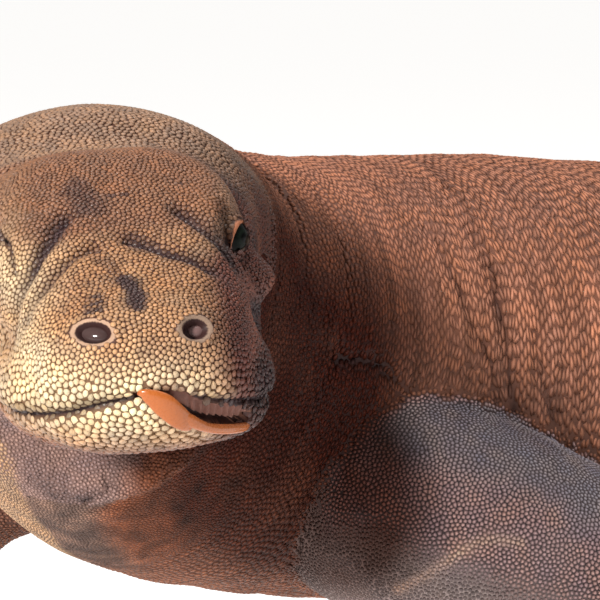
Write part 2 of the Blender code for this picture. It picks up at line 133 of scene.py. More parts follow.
# Degrees, then in millimetres: height, how far out from the muzzle, half width, half thickness
TONGUE = (
    (-11, 1.0, 0.4, 0.7, 0.6), (-8, 1.7, 2.0, 2.0, 1.3), (-1, 0.0, 3.2, 3.9, 1.8), (7, -4.0, 3.8, 5.2, 2.1),
    (14, -9.0, 4.0, 5.0, 2.1), (21, -13.5, 3.9, 4.1, 2.0), (26.5, -17.0, 3.6, 2.2, 1.5),
)
TINE = (
    (10, -6.0, 3.3, 2.8, 1.5), (24, -12.8, 3.8, 2.8, 1.8), (32, -16.5, 4.0, 2.4, 1.8),
    (42, -20.0, 4.0, 2.2, 1.8), (53, -22.8, 4.0, 2.25, 1.8), (67, -26.0, 4.4, 2.2, 1.7),
    (80, -29.0, 5.6, 2.0, 1.6), (88, -30.8, 6.6, 1.2, 1.1),
)
# Lengths of the toes, from the innermost
FORE_TOES = (0.052, 0.066, 0.070, 0.064, 0.050)
HIND_TOES = (0.048, 0.066, 0.082, 0.092, 0.058)
# name: girdle's distance from the snout, side, joints as (forward, out, height, radius), toes' turn, toes
LEGS = {
    "fore_left": (0.57, 1, ((0.055, 0.034, 0.203, 0.063), (0.062, 0.105, 0.196, 0.065),
                            (-0.06, 0.175, 0.131, 0.055), (-0.150, 0.228, 0.088, 0.042),
                            (-0.110, 0.250, 0.078, 0.038), (-0.050, 0.242, 0.062, 0.031)), 22.0, FORE_TOES),
    "fore_right": (0.57, -1, ((0.00, 0.030, 0.196, 0.060), (0.04, 0.110, 0.197, 0.056),
                              (0.11, 0.180, 0.199, 0.0445), (0.165, 0.228, 0.172, 0.040),
                              (0.190, 0.228, 0.112, 0.039), (0.215, 0.222, 0.068, 0.031)), 8.0, FORE_TOES),
    "hind_left": (1.30, 1, ((-0.02, 0.020, 0.200, 0.074), (0.02, 0.105, 0.200, 0.075),
                            (0.11, 0.180, 0.198, 0.063), (0.165, 0.232, 0.168, 0.045),
                            (0.120, 0.244, 0.108, 0.041), (0.060, 0.238, 0.070, 0.032)), 24.0, HIND_TOES),
    "hind_right": (1.30, -1, ((0.01, 0.020, 0.200, 0.074), (0.01, 0.105, 0.200, 0.075),
                              (0.05, 0.185, 0.196, 0.061), (0.060, 0.240, 0.165, 0.046),
                              (-0.020, 0.244, 0.112, 0.042), (-0.095, 0.240, 0.072, 0.032)), 34.0, HIND_TOES),
}
# Along the foot from under the ankle, half width, half height, height of the middle
PALM = (
    (-0.028, 0.018, 0.014, 0.013), (-0.016, 0.029, 0.019, 0.016), (0.004, 0.036, 0.022, 0.016),
    (0.026, 0.042, 0.022, 0.014), (0.046, 0.044, 0.017, 0.010), (0.060, 0.038, 0.012, 0.008),
)

# ---------------------------------------------------------------- the skin's own forms, in millimetres
# Places are (back from the snout, to the left, over the axis).
# Swells of the head: side (0 both, 1 left), place, radii, height
HEAD_SWELLS = (
    (0, (92, 43, 46), (22, 10, 9), 2.6),
    (0, (118, 52, 50), (20, 11, 10), 3.0),
    (0, (48, 26, 40), (26, 8, 8), 1.6),
    (0, (72, 46, 22), (14, 9, 12), -3.0),
    (0, (86, 0, 52), (20, 16, 12), -2.2),
    (0, (150, 20, 62), (26, 22, 14), 1.6),
    (0, (174, 70, 25), (46, 24, 26), -11.5),
    (0, (115, 66, 7), (20, 14, 8), 8.0),
    (0, (84, 60, 2), (24, 14, 8), -7.5),
    (0, (124, 68, -12), (34, 16, 7), -9.5),
    (0, (64, 55, 12), (15, 13, 9), -4.0),
    (1, (90, 58, 27), (11, 14, 13), -8.0),
    (0, (52, 53, -12), (22, 14, 14), 4.5),
    (1, (45, 45, -30), (22, 16, 12), 5.0),
    (0, (20, 14, 20), (14, 12, 12), 1.4),
    (0, (34, 40, 6), (18, 9, 10), 1.6),
)
# Creases: side (0 both), depth, half width, how dark the painted shade in them is, line
CREASES = (
    (-1, 4.2, 4.6, 0.8, ((92, -26, 51), (82, -33, 46), (73, -42, 37), (64, -50, 19), (62, -53, 4))),
    (-1, 1.8, 1.5, 0.7, ((112, -52, 40), (105, -53, 39), (95, -50, 39), (87, -50, 36), (78, -51, 32))),
    (-1, 3.2, 3.6, 0.6, ((70, -16, 45), (66, -25, 42), (56, -39, 31), (51, -47, 17))),
    (1, 3.4, 3.6, 0.85, ((73, 0, 46), (69, 8, 45), (63, 17, 41), (56, 32, 35), (58, 42, 24))),
    (1, 4.2, 4.6, 0.7, ((92, 26, 51), (82, 36, 45), (76, 44, 36), (70, 50, 19), (66, 54, 2))),
    (0, 2.6, 5.0, 0.5, ((206, 0, 48), (203, 34, 44), (196, 62, 26), (190, 78, 0))),
    (0, 2.0, 3.0, 0.5, ((128, 70, 8), (112, 67, -12), (92, 61, -18))),
)
# Marks: half width, how dark, line. The lines along the left brow's groove and behind the lip's notch are
# painted shade.
MARKS_AND_SHADE_LINES = (
    (8.0, 0.62, ((112, -18, 58), (98, -15, 55))),
    (1.6, 0.9, ((104, -4, 57), (104, 4, 57))),
    (3.0, 0.85, ((67, -15.4, 44), (67, -14, 44))),
    (3.6, 0.45, ((64, -17, 43), (53, -9, 40), (46, -5, 38))),
    (4.8, 1.0, ((45, -5, 38), (34, -1.5, 35), (24, -2.4, 32))),
    (2.0, 0.9, ((36, -23, 33), (35, -17, 34))),
    (2.0, 0.9, ((31.5, -25, 31), (31, -17, 32))),
    (2.0, 0.9, ((27, -25, 29.5), (26.5, -18, 30.5))),
    # these two lines: painted shade along the left brow's groove
    (6.0, 0.75, ((74, 2, 47), (68, 8, 45))),
    (3.4, 0.9, ((69, 8, 45), (62, 18, 41), (56, 32, 35))),
    (6.0, 0.45, ((60, 22, 39), (52, 40, 24))),
    # painted shade on the head's side behind the lip's notch, turned from the light
    (8.5, 0.92, ((64, 55, 11), (82, 60, 3), (106, 65, -7), (142, 71, -17))),
    (5.5, 0.65, ((34, 47, -11), (50, 54, -15))),
)
# Nostrils: place, half length, half height, depth, rim, how far out the bare rim goes
NOSTRILS = (
    ((16.9, -23.0, 24.0), 8.4, 4.9, 4.6, 0.6, 1.28),
    ((14.8, 20.2, 22.4), 6.3, 4.6, 4.8, 0.8, 1.42),
)
# Pale band along the left elbow's ridge: pink-beige skin, and a painted highlight where the ridge catches the
# light
ELBOW_RIDGE = (
    (483, 130, -113), (488, 148, -101), (494, 158, -92), (503, 166, -82), (515, 173, -78), (526, 179, -78),
)
# Painted shade in the hollow under the left brow
BROW_HOLLOW = ((105, 46, 47), (97, 45, 45), (87, 46, 40), (79, 46, 35), (68, 46, 29))
# Folds of the neck, throat and trunk: side, depth, half width, how dark the painted shade along them is, line
FOLDS = (
    (1, 3.2, 4.5, 0.85, ((563, 25, 103), (548, 61, 93), (547, 91, 73), (549, 106, 56), (550, 117, 36),
                         (557, 124, -6), (562, 123, -30))),
    (1, 1.8, 4.0, 0.7, ((510, 87, 72), (518, 106, 50), (532, 118, 23), (542, 122, 9), (547, 123, -13))),
    (1, 1.8, 4.0, 0.7, ((571, 123, 23), (572, 126, 3), (582, 126, -20))),
    (1, 1.8, 6.0, 0.2, ((429, 50, 92), (429, 92, 49), (424, 104, 0), (410, 96, -60))),
    (1, 2.6, 4.5, 0.85, ((423, 104, -10), (446, 107, -4), (462, 110, -3), (474, 113, -8), (484, 116, -14))),
    (0, 1.6, 6.0, 0.2, ((372, 60, 76), (362, 97, 20), (356, 98, -30), (350, 84, -90), (343, 25, -134))),
    (1, 1.4, 5.0, 0.2, ((322, 92, -10), (312, 88, -60), (300, 60, -112))),
    (-1, 2.4, 2.2, 0.9, ((318, -34, -126), (315, -26, -131), (307, -12, -133), (299, -2, -134),
                         (290, 8, -130))),
    (1, 2.2, 5.0, 0.25, ((634, 60, 92), (639, 90, 73), (650, 124, 30))),
    (-1, 3.5, 6.0, 0.4, ((514, -55, 94), (536, -90, 74), (541, -117, 35), (548, -123, -11))),
)
# Where the skin's faces are halved once more: up to a distance, and for the last round the nostrils alone
FINER_TO = {"front": 0.60, "head": 0.225, "muzzle": 0.040, "nostrils": 0.0}

# ---------------------------------------------------------------- finishes
# Speckle's scale and strength, least and most roughness, bump's depth, clear coat, specular level
FINISHES = {
    "hide": (1200.0, 0.5, 0.40, 0.60, 0.0003, 0.0, 0.2),
    "keratin": (2600.0, 0.5, 0.38, 0.58, 0.0002, 0.0, 0.17),
    "head_keratin": (1500.0, 0.9, 0.22, 0.46, 0.0005, 0.0, 0.5),
    "eye": (500.0, 0.15, 0.16, 0.22, 0.00002, 0.0, 0.07),
    "wet_lining": (400.0, 0.3, 0.10, 0.16, 0.00005, 0.0, 0.45),
    "wet_flesh": (700.0, 0.18, 0.22, 0.34, 0.00015, 0.3, 0.5),
    "horn": (420.0, 0.5, 0.22, 0.40, 0.0001, 0.0, 0.5),
}
# What each patch leaves of the red, green and blue under it: painted shade, and a darker patch on the right
# cheek
SHADES = {
    # painted shade under the upper lip, along the top of the open mouth
    "under the gum": (0.38, 0.25, 0.23),
    # painted shade on the snout's side that is turned from the light, partly its darker brown
    "snout's side": (0.225, 0.10, 0.105),
    # painted shade on the jowl behind the lip, turned from the light
    "jowl": (0.26, 0.16, 0.14),
    # painted shadow that the head casts on the neck and shoulder, partly a darker brown
    "shoulder": (0.148, 0.049, 0.022),
    # painted shade in the hollow under the left brow
    "brow": (0.30, 0.22, 0.13),
    # painted shade over the closed lip line, on the right of the mouth
    "upper lip": (0.40, 0.36, 0.30),
    # painted shade on the left of the muzzle, turned from the light
    "left muzzle": (0.72, 0.50, 0.48),
    "right cheek": (0.50, 0.38, 0.34),
}
CHIN_SHADE = (0.58, 0.44, 0.42)
CHIN_EDGE_SHADE = (0.50, 0.36, 0.38)
# colours of the elbow's pale band: pink-beige, lightened as a painted highlight on the ridge
RIDGE_SCALE = (0.88, 0.60, 0.47)
RIDGE_GAP = (0.52, 0.33, 0.26)
EYE_WHITE = (0.012, 0.009, 0.007)
PUPIL = 0.002
# Groups of scales: corners, domed or pointed, height over spacing, slot, triangles of each scale
GROUPS = {
    "head": (7, True, 0.33, "head_skin", 26),
    "body": (8, False, 0.17, "body_skin", 14),
    "rear": (6, False, 0.18, "tail_skin", 10),
}
MOST_TRIANGLES = 185000  # of one mesh of scales

# ---------------------------------------------------------------- stage
CAMERA_TARGET = (0.025, 0.0, 0.021)  # back from the snout, left of and over the axis
CAMERA_AZIMUTH = 60.0
CAMERA_RISE = 6.0
CAMERA_DISTANCE = 1.70
CAMERA_RIGHT = 0.06714  # how far the camera is then moved to its own right and up
CAMERA_UP = 0.01248
CAMERA_LENS = 237.0  # millimetres, on a sensor 36 wide
FLOOR_HALF = 80.0
KEY_SWING = 42.0  # how far the sun stands to the camera's left, and how high
KEY_RISE = 27.0
KEY_SPREAD = 9.0
KEY_STRENGTH = 3.7
KEY_TINT = (1.0, 0.975, 0.94)
TOP_PLACE = (0.0, 0.2, 3.4)
TOP_WIDTH = 3.5
TOP_POWER = 60.0
WORLD_STRENGTH = 0.20


# ---------------------------------------------------------------- settings
def length(name, description, default):
    return bpy.props.FloatProperty(
        name=name, description=description, default=default, min=0.0, subtype="DISTANCE", unit="LENGTH"
    )


def colour(name, description, default):
    return bpy.props.FloatVectorProperty(
        name=name, description=description, default=default, size=3, min=0.0, max=1.0, subtype="COLOR"
    )


class KomodoSizes(bpy.types.PropertyGroup):
    coat: length("Coat depth", "How far the skin lies inside the flesh solids", 0.0009)
    voxel: length("Skin mesh", "Edge of the skin's faces on the trunk", 0.0078)
    lip_scale: length("Lip scale", "Spacing of the scales on the lips", 0.0036)
    snout_scale: length("Snout scale", "Spacing of the scales on the muzzle", 0.0023)
    crown_scale: length("Crown scale", "Spacing of the scales on top of the head", 0.0024)
    neck_scale: length("Neck scale", "Spacing of the scales on the neck", 0.0032)
    throat_scale: length("Throat scale", "Spacing of the scales on the throat", 0.0021)
    trunk_row: length("Trunk row", "Distance between the trunk's rows of scales", 0.0023)
    trunk_scale: length("Trunk scale", "Length of the trunk's scales along their rows", 0.0074)
    arm_scale: length("Arm scale", "Spacing of the scales on the arms", 0.0024)
    rear_row: length("Rear row", "Distance between the rows of scales on the hips", 0.0060)
    rear_scale: length("Rear scale", "Spacing of the scales on the hips, hind legs and tail", 0.0086)
    foot_scale: length("Foot scale", "Spacing of the scales on the hands and feet", 0.0048)
    mouth_depth: length("Mouth depth", "How far the open stretch of the mouth goes in", 0.0090)
    seed: bpy.props.IntProperty(name="Seed", description="Start of the random places", default=7, min=0)


class KomodoColours(bpy.types.PropertyGroup):
    gold: colour("Gold", "Scales of the face", (0.47, 0.23, 0.105))
    cream: colour("Cream", "Scales of the lips and cheeks", (0.93, 0.71, 0.43))
    crown: colour("Crown", "Scales on top of the head", (0.285, 0.125, 0.064))
    # the head's dark marks, and the painted shade in its creases and folds
    mark: colour("Mark", "Dark marks and creases of the head", (0.048, 0.024, 0.026))
    head_gap: colour("Head gap", "Skin between the head's scales", (0.085, 0.034, 0.026))
    nape: colour("Nape", "Scales behind the head", (0.38, 0.220, 0.135))
    throat: colour("Throat", "Scales of the throat", (0.325, 0.210, 0.185))
    speckle: colour("Speckle", "Scales between the throat and the chest", (0.235, 0.145, 0.112))
    flank: colour("Flank", "Right side of the neck", (0.55, 0.34, 0.20))
    trunk: colour("Trunk", "Scales of the trunk", (0.43, 0.180, 0.107))
    trunk_gap: colour("Trunk gap", "Skin between the trunk's scales", (0.18, 0.072, 0.044))
    arm: colour("Arm", "Scales on top of the arms", (0.52, 0.46, 0.50))
    arm_side: colour("Arm side", "Scales on the sides of the arms", (0.80, 0.50, 0.47))
    arm_low: colour("Arm low", "Scales under the arms and below the elbow", (0.15, 0.115, 0.11))
    arm_dark: colour("Arm dark gap", "Skin between the upper scales of the arms", (0.085, 0.058, 0.060))
    arm_gap: colour("Arm pale gap", "Skin between the lower scales of the arms", (0.46, 0.355, 0.33))
    belly: colour("Belly", "Scales of the belly", (0.42, 0.28, 0.17))
    tail: colour("Tail", "Scales of the tail and hind legs", (0.22, 0.135, 0.09))
    # painted shade inside the nostrils, the mouth's slit and the eyes' openings
    hollow: colour("Hollow", "Inside of the nostrils and the slit of the mouth", (0.085, 0.035, 0.032))
    rim: colour("Rim", "Bare rims of the nostrils", (0.37, 0.245, 0.175))
    lining: colour("Lining", "Wet lining of the nostrils", (0.13, 0.075, 0.070))
    gum: colour("Gum", "Inside of the lips", (0.27, 0.125, 0.095))
    tongue: colour("Tongue", "Flesh of the tongue", (0.52, 0.135, 0.024))
    tongue_tip: colour("Tongue tip", "Darker tips of the tongue", (0.44, 0.10, 0.055))
    iris: colour("Iris", "Ring of the eye", (0.007, 0.010, 0.007))
    lid: colour("Lid", "Edge of the eyelids", (0.55, 0.20, 0.10))
    claw: colour("Claw", "Horn of the claws", (0.060, 0.045, 0.036))
    floor: colour("Floor", "Plain floor", (0.93, 0.93, 0.93))


def sizes():
    return bpy.context.scene.komodo_sizes


def colours():
    return bpy.context.scene.komodo_colours


# ---------------------------------------------------------------- curves and the plan
def smooth_curve(x, points, column=1):
    """Cubic through the table's points whose slope is limited, so that it never overshoots."""
    table = np.array(points, dtype=float)
    xs = table[:, 0]
    ys = table[:, column]
    step = np.diff(xs)
    rise = np.diff(ys) / step
    total = np.where(rise[:-1] + rise[1:] == 0, 1, rise[:-1] + rise[1:])
    inner = np.where(rise[:-1] * rise[1:] > 0, 2 * rise[:-1] * rise[1:] / total, 0.0)
    slope = np.concatenate([rise[:1], inner, rise[-1:]])
    x = np.asarray(x, dtype=float)
    i = np.clip(np.searchsorted(xs, x) - 1, 0, len(step) - 1)
    t = np.clip((x - xs[i]) / step[i], 0, 1)
    return (
        ys[i] * (1 + 2 * t) * (1 - t) ** 2
        + slope[i] * step[i] * t * (1 - t) ** 2
        + ys[i + 1] * t * t * (3 - 2 * t)
        + slope[i + 1] * step[i] * t * t * (t - 1)
    )


def fade(x, start, end):
    """0 before start, 1 after end, and a smooth S between them; start may be the larger."""
    t = np.clip((x - start) / (end - start), 0, 1)
    return t * t * (3 - 2 * t)


def bell(x, width, power=2):
    """1 where x is 0, falling to 1 / e at the width on both sides."""
    return np.exp(-((x / width) ** power))


def unit(vectors):
    return vectors / np.maximum(np.linalg.norm(vectors, axis=-1, keepdims=True), 1e-12)


def dot(a, b):
    return (a * b).sum(axis=-1)


def between(x, xs, rows):
    """The rows read off at x, on straight lines between the places xs."""
    return np.stack([np.interp(x, xs, column) for column in rows.T], axis=-1)


def run_along(path):
    """Distance along a path at each of its points."""
    return np.concatenate([[0.0], np.cumsum(np.linalg.norm(np.diff(path, axis=0), axis=1))])


class Spine:
    """The spine axis: its height is the stations', its plan comes from the heading, and its length is s."""

    def __init__(self):
        self.s = np.linspace(0, TAIL_END, 1361)
        height = smooth_curve(self.s, STATIONS, 1)
        climb = np.gradient(height, self.s)
        level = np.sqrt(1 - climb**2)
        turn = np.radians(smooth_curve(self.s, HEADING))
        step = self.s[1] - self.s[0]
        across = np.cumsum(-np.sin(turn) * level) * step
        along = np.cumsum(np.cos(turn) * level) * step
        self.points = np.stack([across, along, height], axis=1)
        self.slopes = np.gradient(self.points, self.s, axis=0)
        low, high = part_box("eye_left")
        middle = (np.array(low) + np.array(high)) / 2
        self.points[:, :2] += (middle - self.place(*EYE_AT)[0])[:2]

    def at(self, s):
        """Point, backward direction, left and up at the distances s."""
        s = np.atleast_1d(np.asarray(s, dtype=float))
        back = unit(between(s, self.s, self.slopes))
        point = between(s, self.s, self.points) + np.minimum(s, 0)[:, None] * back
        left = unit(np.cross(back, (0.0, 0.0, 1.0)))
        up = np.cross(left, back)
        start, end = ROLL_FADES
        roll = np.radians(HEAD_ROLL) * np.clip((end - s) / (end - start), 0, 1)[:, None]
        return point, back, left * np.cos(roll) + up * np.sin(roll), up * np.cos(roll) - left * np.sin(roll)

    def place(self, s, left, up):
        """World point of a place given back along the axis, to the left of it and over it."""
        point, _, leftward, upward = self.at(s)
        return point + np.reshape(left, (-1, 1)) * leftward + np.reshape(up, (-1, 1)) * upward

    def locate(self, points):
        """The inverse of place: the nearest station, moved on by what is left along the axis."""
        coarse = self.points[::8]
        s = np.empty(len(points))
        for first in range(0, len(points), 20000):
            part = points[first:first + 20000]
            far = (coarse**2).sum(axis=1) - 2 * part @ coarse.T
            s[first:first + 20000] = self.s[::8][far.argmin(axis=1)]
        for _ in range(7):
            point, back, _, _ = self.at(s)
            s = np.clip(s + 0.8 * dot(points - point, back), -0.01, TAIL_END)
        point, _, left, up = self.at(s)
        return np.stack([s, dot(points - point, left), dot(points - point, up)], axis=1)


def section(spine, s, angles, grow):
    """Ring of the superellipse at s, from the left over the back to the right and the belly."""
    front = np.clip(1 - s / SNOUT_ROUNDING, 0, 1)
    rounding = max(1 - front**SNOUT_POWER, 0) ** (1 / SNOUT_POWER)
    width, over, under = (smooth_curve(s, STATIONS, k) * rounding for k in (2, 3, 4))
    c = np.cos(angles)
    n = np.sin(angles)
    power = np.where(n > 0, smooth_curve(s, SECTION_POWER), smooth_curve(s, LOW_POWER))
    sideways = (width + grow) * np.sign(c) * np.abs(c) ** (2 / power)
    upright = np.where(n > 0, over + grow, under + grow) * np.sign(n) * np.abs(n) ** (2 / power)
    return spine.place(np.full(len(angles), s), sideways, upright)


def section_value(place):
    """Under 0 inside the head and neck, over 0 outside: the superellipse's radius, rounded off in front."""
    s, x, h = place.T
    width, over, under = (smooth_curve(s, STATIONS, k) for k in (2, 3, 4))
    power = np.where(h > 0, smooth_curve(s, SECTION_POWER), smooth_curve(s, LOW_POWER))
    front = np.maximum(1 - s / SNOUT_ROUNDING, 0)
    radial = (np.abs(x / width) ** power + np.abs(h / np.where(h > 0, over, under)) ** power) ** (1 / power)
    return (radial**SNOUT_POWER + front**SNOUT_POWER) ** (1 / SNOUT_POWER) - 1


def section_slope(place):
    """Central differences of section_value over 0.2 mm each way."""
    steps = np.eye(3) * 0.0002
    return np.stack([(section_value(place + d) - section_value(place - d)) / 0.0004 for d in steps], axis=1)


def eye_frame(spine, side):
    """Centre of an eye, the way that its opening faces, and the directions over and across the opening."""
    centre = spine.place(EYE_AT[0], side * EYE_AT[1], EYE_AT[2])[0]
    _, back, left, up = (v[0] for v in spine.at(EYE_AT[0]))
    forward, outward, upward = EYE_GAZE[side]
    gaze = unit(side * outward * left - forward * back + upward * up)
    rise = unit(up - (up @ gaze) * gaze)
    return centre, gaze, rise, np.cross(rise, gaze)


def full_turn(count):
    return (np.arange(count) + 0.5) * 2 * math.pi / count


def tube_frames(points, easing=0, upright=False):
    """Side and up directions square to a path, carried along it without twist."""
    along = np.gradient(points, axis=0)
    for _ in range(easing):
        ends = np.concatenate([along[:1], along, along[-1:]])
        along = (ends[:-2] + 2 * ends[1:-1] + ends[2:]) / 4
    if upright:
        along[:, 2] = 0.0
    along = unit(along)
    side = np.zeros_like(along)
    carried = np.cross(along[0], (0.0, 0.0, 1.0))
    for k, direction in enumerate(along):
        carried = unit(carried - (carried @ direction) * direction)
        side[k] = carried
    return side, np.cross(side, along)


def tube_rings(points, radii, count, easing=0, upright=False):
    """Circles of the given radii round a path's points."""
    side, up = tube_frames(points, easing, upright)
    angles = full_turn(count)
    turn_side = np.cos(angles)[None, :, None] * side[:, None, :]
    turn_up = np.sin(angles)[None, :, None] * up[:, None, :]
    return points[:, None, :] + radii[:, None, None] * (turn_side + turn_up)


def oval_rings(centres, wide, high, across, over, count):
    """Ovals round the centres, as far along two directions as the two rows of numbers say."""
    turn = full_turn(count)[None, :, None]
    return (
        centres[:, None] + wide[:, None, None] * np.cos(turn) * across
        + high[:, None, None] * np.sin(turn) * over
    )


def leg_path(spine, name, count):
    """Points, radii and girdle directions of a leg, its corners cut three times, at even steps."""
    girdle, side, joints, _, _ = LEGS[name]
    origin, back, _, _ = spine.at(girdle)
    forward = unit(-back[0] * np.array((1.0, 1.0, 0.0)))
    out = side * np.array((-forward[1], forward[0], 0.0))
    table = np.array(joints)
    places = table[:, :1] * forward + table[:, 1:2] * out
    places[:, :2] += origin[0, :2]
    places[:, 2] = table[:, 2]
    route = np.column_stack([places, table[:, 3]])
    for _ in range(3):
        near = 0.75 * route[:-1] + 0.25 * route[1:]
        far = 0.25 * route[:-1] + 0.75 * route[1:]
        route = np.concatenate([route[:1], np.stack([near, far], axis=1).reshape(-1, 4), route[-1:]])
    run = run_along(route[:, :3])
    route = between(np.linspace(0, run[-1], count), run, route)
    return route[:, :3], route[:, 3], forward, out


def foot_plan(spine, name):
    """Point on the floor under the ankle, directions, and each toe's number, direction, root and length."""
    _, side, _, toe_out, toes = LEGS[name]
    points, _, forward, out = leg_path(spine, name, 11)
    angle = math.radians(toe_out)
    heading = forward * math.cos(angle) + out * math.sin(angle)
    outward = side * np.array((-heading[1], heading[0], 0.0))
    along = unit(points[-1] - points[-2])
    floor_point = (points[-1] + FOOT_AHEAD * along) * (1, 1, 0)
    plan = []
    for number, toe_length in enumerate(toes, start=1):
        place = (number - 3) / 2
        turn = math.radians(TOE_FAN) * place
        toe_along = heading * math.cos(turn) + outward * math.sin(turn)
        root = floor_point + TOE_ROOT * heading + TOE_SPREAD * place * outward
        plan.append((number, toe_along, root, toe_length))
    return floor_point, heading, outward, along, points[-1], plan


def toe_path(root, along, toe_length, count):
    """Line and radii of a toe: it leaves the palm, arches and comes down."""
    t = np.linspace(0, 1, count)
    path = root + (t * (toe_length + 0.018))[:, None] * along
    path[:, 2] = TOE_HEIGHT + TOE_ARCH * np.sin(math.pi * t) - 0.0005 * t
    return path, TOE_RADIUS - 0.0012 * t


# ---------------------------------------------------------------- meshes
def tube_faces(count, around, start=0):
    """Quads between neighbouring rings, and the two ends as one face each, facing outward."""
    index = start + np.arange(count * around).reshape(count, around)
    after = np.roll(index, -1, axis=1)
    quads = np.stack([index[:-1], index[1:], after[1:], after[:-1]], axis=-1).reshape(-1, 4)
    return quads.tolist() + [index[0].tolist(), index[-1][::-1].tolist()]


def joined(shells):
    """Points and faces of several ring grids as one list."""
    points = []
    faces = []
    total = 0
    for rings in shells:
        points.append(rings.reshape(-1, 3))
        faces += tube_faces(rings.shape[0], rings.shape[1], total)
        total += rings.shape[0] * rings.shape[1]
    return np.concatenate(points), faces


def new_mesh(name, points, faces):
    mesh = bpy.data.meshes.new(name)
    mesh.from_pydata(points, [], faces)
    return mesh


def linked(name, data):
    """New object of the scene with this data."""
    made = bpy.data.objects.new(name, data)
    bpy.context.scene.collection.objects.link(made)
    return made


def add_object(name, mesh, material):
    """Smooth object at the origin that rides on the body."""
    mesh.shade_smooth()
    mesh.materials.append(material)
    piece = linked(name, mesh)
    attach(piece, "root")
    return piece


def add_piece(name, shells, finish, paint):
    """Object made of closed tubes given as rings, facing outward, with a colour for each point."""
    points, faces = joined(shells)
    mesh = new_mesh(name, points.tolist(), faces)
    bm = bmesh.new()
    bm.from_mesh(mesh)
    bmesh.ops.recalc_face_normals(bm, faces=bm.faces)
    bm.to_mesh(mesh)
    bm.free()
    put(mesh, "paint", "FLOAT_COLOR", opaque(np.broadcast_to(paint, points.shape)))
    return add_object(name, mesh, painted_material(finish))


def put(mesh, name, kind, values):
    """Point attribute of the mesh: one number, three or four for each vertex."""
    made = mesh.attributes.get(name) or mesh.attributes.new(name, kind, "POINT")
    field = {"FLOAT": "value", "FLOAT_VECTOR": "vector", "FLOAT_COLOR": "color"}[kind]
    made.data.foreach_set(field, np.ascontiguousarray(values, dtype=np.float32).ravel())


def read(items, field, width=3, kind=np.float32):
    """A field of a mesh's items, as a row of numbers for each."""
    values = np.empty(len(items) * width, dtype=kind)
    items.foreach_get(field, values)
    return values.reshape(-1, width)


def opaque(rgb):
    return np.column_stack([np.clip(rgb, 0, 1), np.ones(len(rgb))])


def points_of(mesh):
    return read(mesh.vertices, "co").astype(float)


def set_points(mesh, points):
    mesh.vertices.foreach_set("co", points.astype(np.float32).ravel())
    mesh.update()


def normals_of(mesh):
    return read(mesh.vertex_normals, "vector").astype(float)


def facts_of(mesh):
    """The place, limb and relief of each of the skin's points, as shape_skin put them there."""
    return [read(mesh.attributes[name].data, "vector").astype(float) for name in ("place", "limb", "relief")]


# ---------------------------------------------------------------- noise
def lattice_value(cell, seed):
    """Number from 0 to 1 for each whole-number cell, mixed from its three coordinates."""
    mixed = cell[..., 0] * 374761393 + cell[..., 1] * 668265263 + cell[..., 2] * 2147483647
    mixed = mixed + seed * 1274126177
    mixed = (mixed ^ (mixed >> 13)) * 1274126177
    mixed = mixed ^ (mixed >> 16)
    return (mixed & 0xFFFFFF) / float(0xFFFFFF)


def value_noise(points, seed=0):
    """Smooth noise from -1 to 1: the lattice's values eased between the eight corners round each point."""
    cell = np.floor(points).astype(np.int64)
    t = points - cell
    t = t * t * (3 - 2 * t)
    total = np.zeros(len(points))
    for corner in range(8):
        offset = np.array(((corner >> 2) & 1, (corner >> 1) & 1, corner & 1))
        weight = np.prod(np.where(offset == 1, t, 1 - t), axis=1)
        total += weight * lattice_value(cell + offset, seed)
    return 2 * total - 1


def layered_noise(points, seed=0, layers=3):
    """Value noise with each layer twice as fine and half as strong."""
    return sum(value_noise(points * 2**k, seed + k) / 2**k for k in range(layers))


# ---------------------------------------------------------------- relief of the skin
def bump(place, centre, radii):
    """exp(-(distance over radius) squared), with its own radius in each direction."""
    return np.exp(-(((place - np.array(centre)) / np.array(radii)) ** 2).sum(axis=1))


def line_distance(place, line):
    """Least distance from each place to a run of straight pieces."""
    best = np.full(len(place), 1e9)
    ends = np.array(line, dtype=float)
    for a, b in zip(ends, ends[1:]):
        run = b - a
        t = np.clip((place - a) @ run / (run @ run), 0, 1)
        best = np.minimum(best, np.linalg.norm(place - a - t[:, None] * run, axis=1))
    return best


def mirrored(place):
    """Places with those on the right moved to the left."""
    return np.column_stack([place[:, 0], np.abs(place[:, 1]), place[:, 2]])


def groove(place, sided, table):
    """Sum of round-bottomed grooves: depth times exp(-(distance / half width) squared), and the darkness of
    the painted shade in them.
    """
    deep = np.zeros(len(place))
    dark = np.zeros(len(place))
    for side, depth, wide, darkness, line in table:
        distance = line_distance(sided if side == 0 else place, line)
        shape = bell(distance, wide)
        deep += depth * shape
        dark = np.maximum(dark, darkness * shape)
    return deep, dark


def nostril_frame(centre):
    """Outward, level and steep directions at a place in millimetres on the muzzle."""
    slope = unit(section_slope(np.array(centre)[None] / 1000.0))[0]
    level = unit(np.cross((0.0, 0.0, 1.0), slope))
    return slope, level, np.cross(slope, level)


def nostril_relief(place):
    """Pits: an oval distance from each nostril's middle, falling steeply inside 1, with a rim at 1.38."""
    rise = np.zeros(len(place))
    open_share = np.zeros(len(place))
    for centre, long, tall, depth, rim, bare_to in NOSTRILS:
        _, level, steep = nostril_frame(centre)
        offset = place - np.array(centre)
        near = np.linalg.norm(offset, axis=1) < 4 * long
        oval = np.sqrt((offset @ level / long) ** 2 + (offset @ steep / tall) ** 2)
        rise -= depth * np.where(near, fade(oval, 1.08, 0.55), 0)
        rise += np.where(near, rim * bell(oval - 1.38, 0.30), 0)
        bare = np.maximum(0.56 * fade(oval, bare_to + 0.04, bare_to), fade(oval, 1.12, 1.00))
        open_share = np.maximum(open_share, np.where(near, bare, 0))
    return rise, open_share


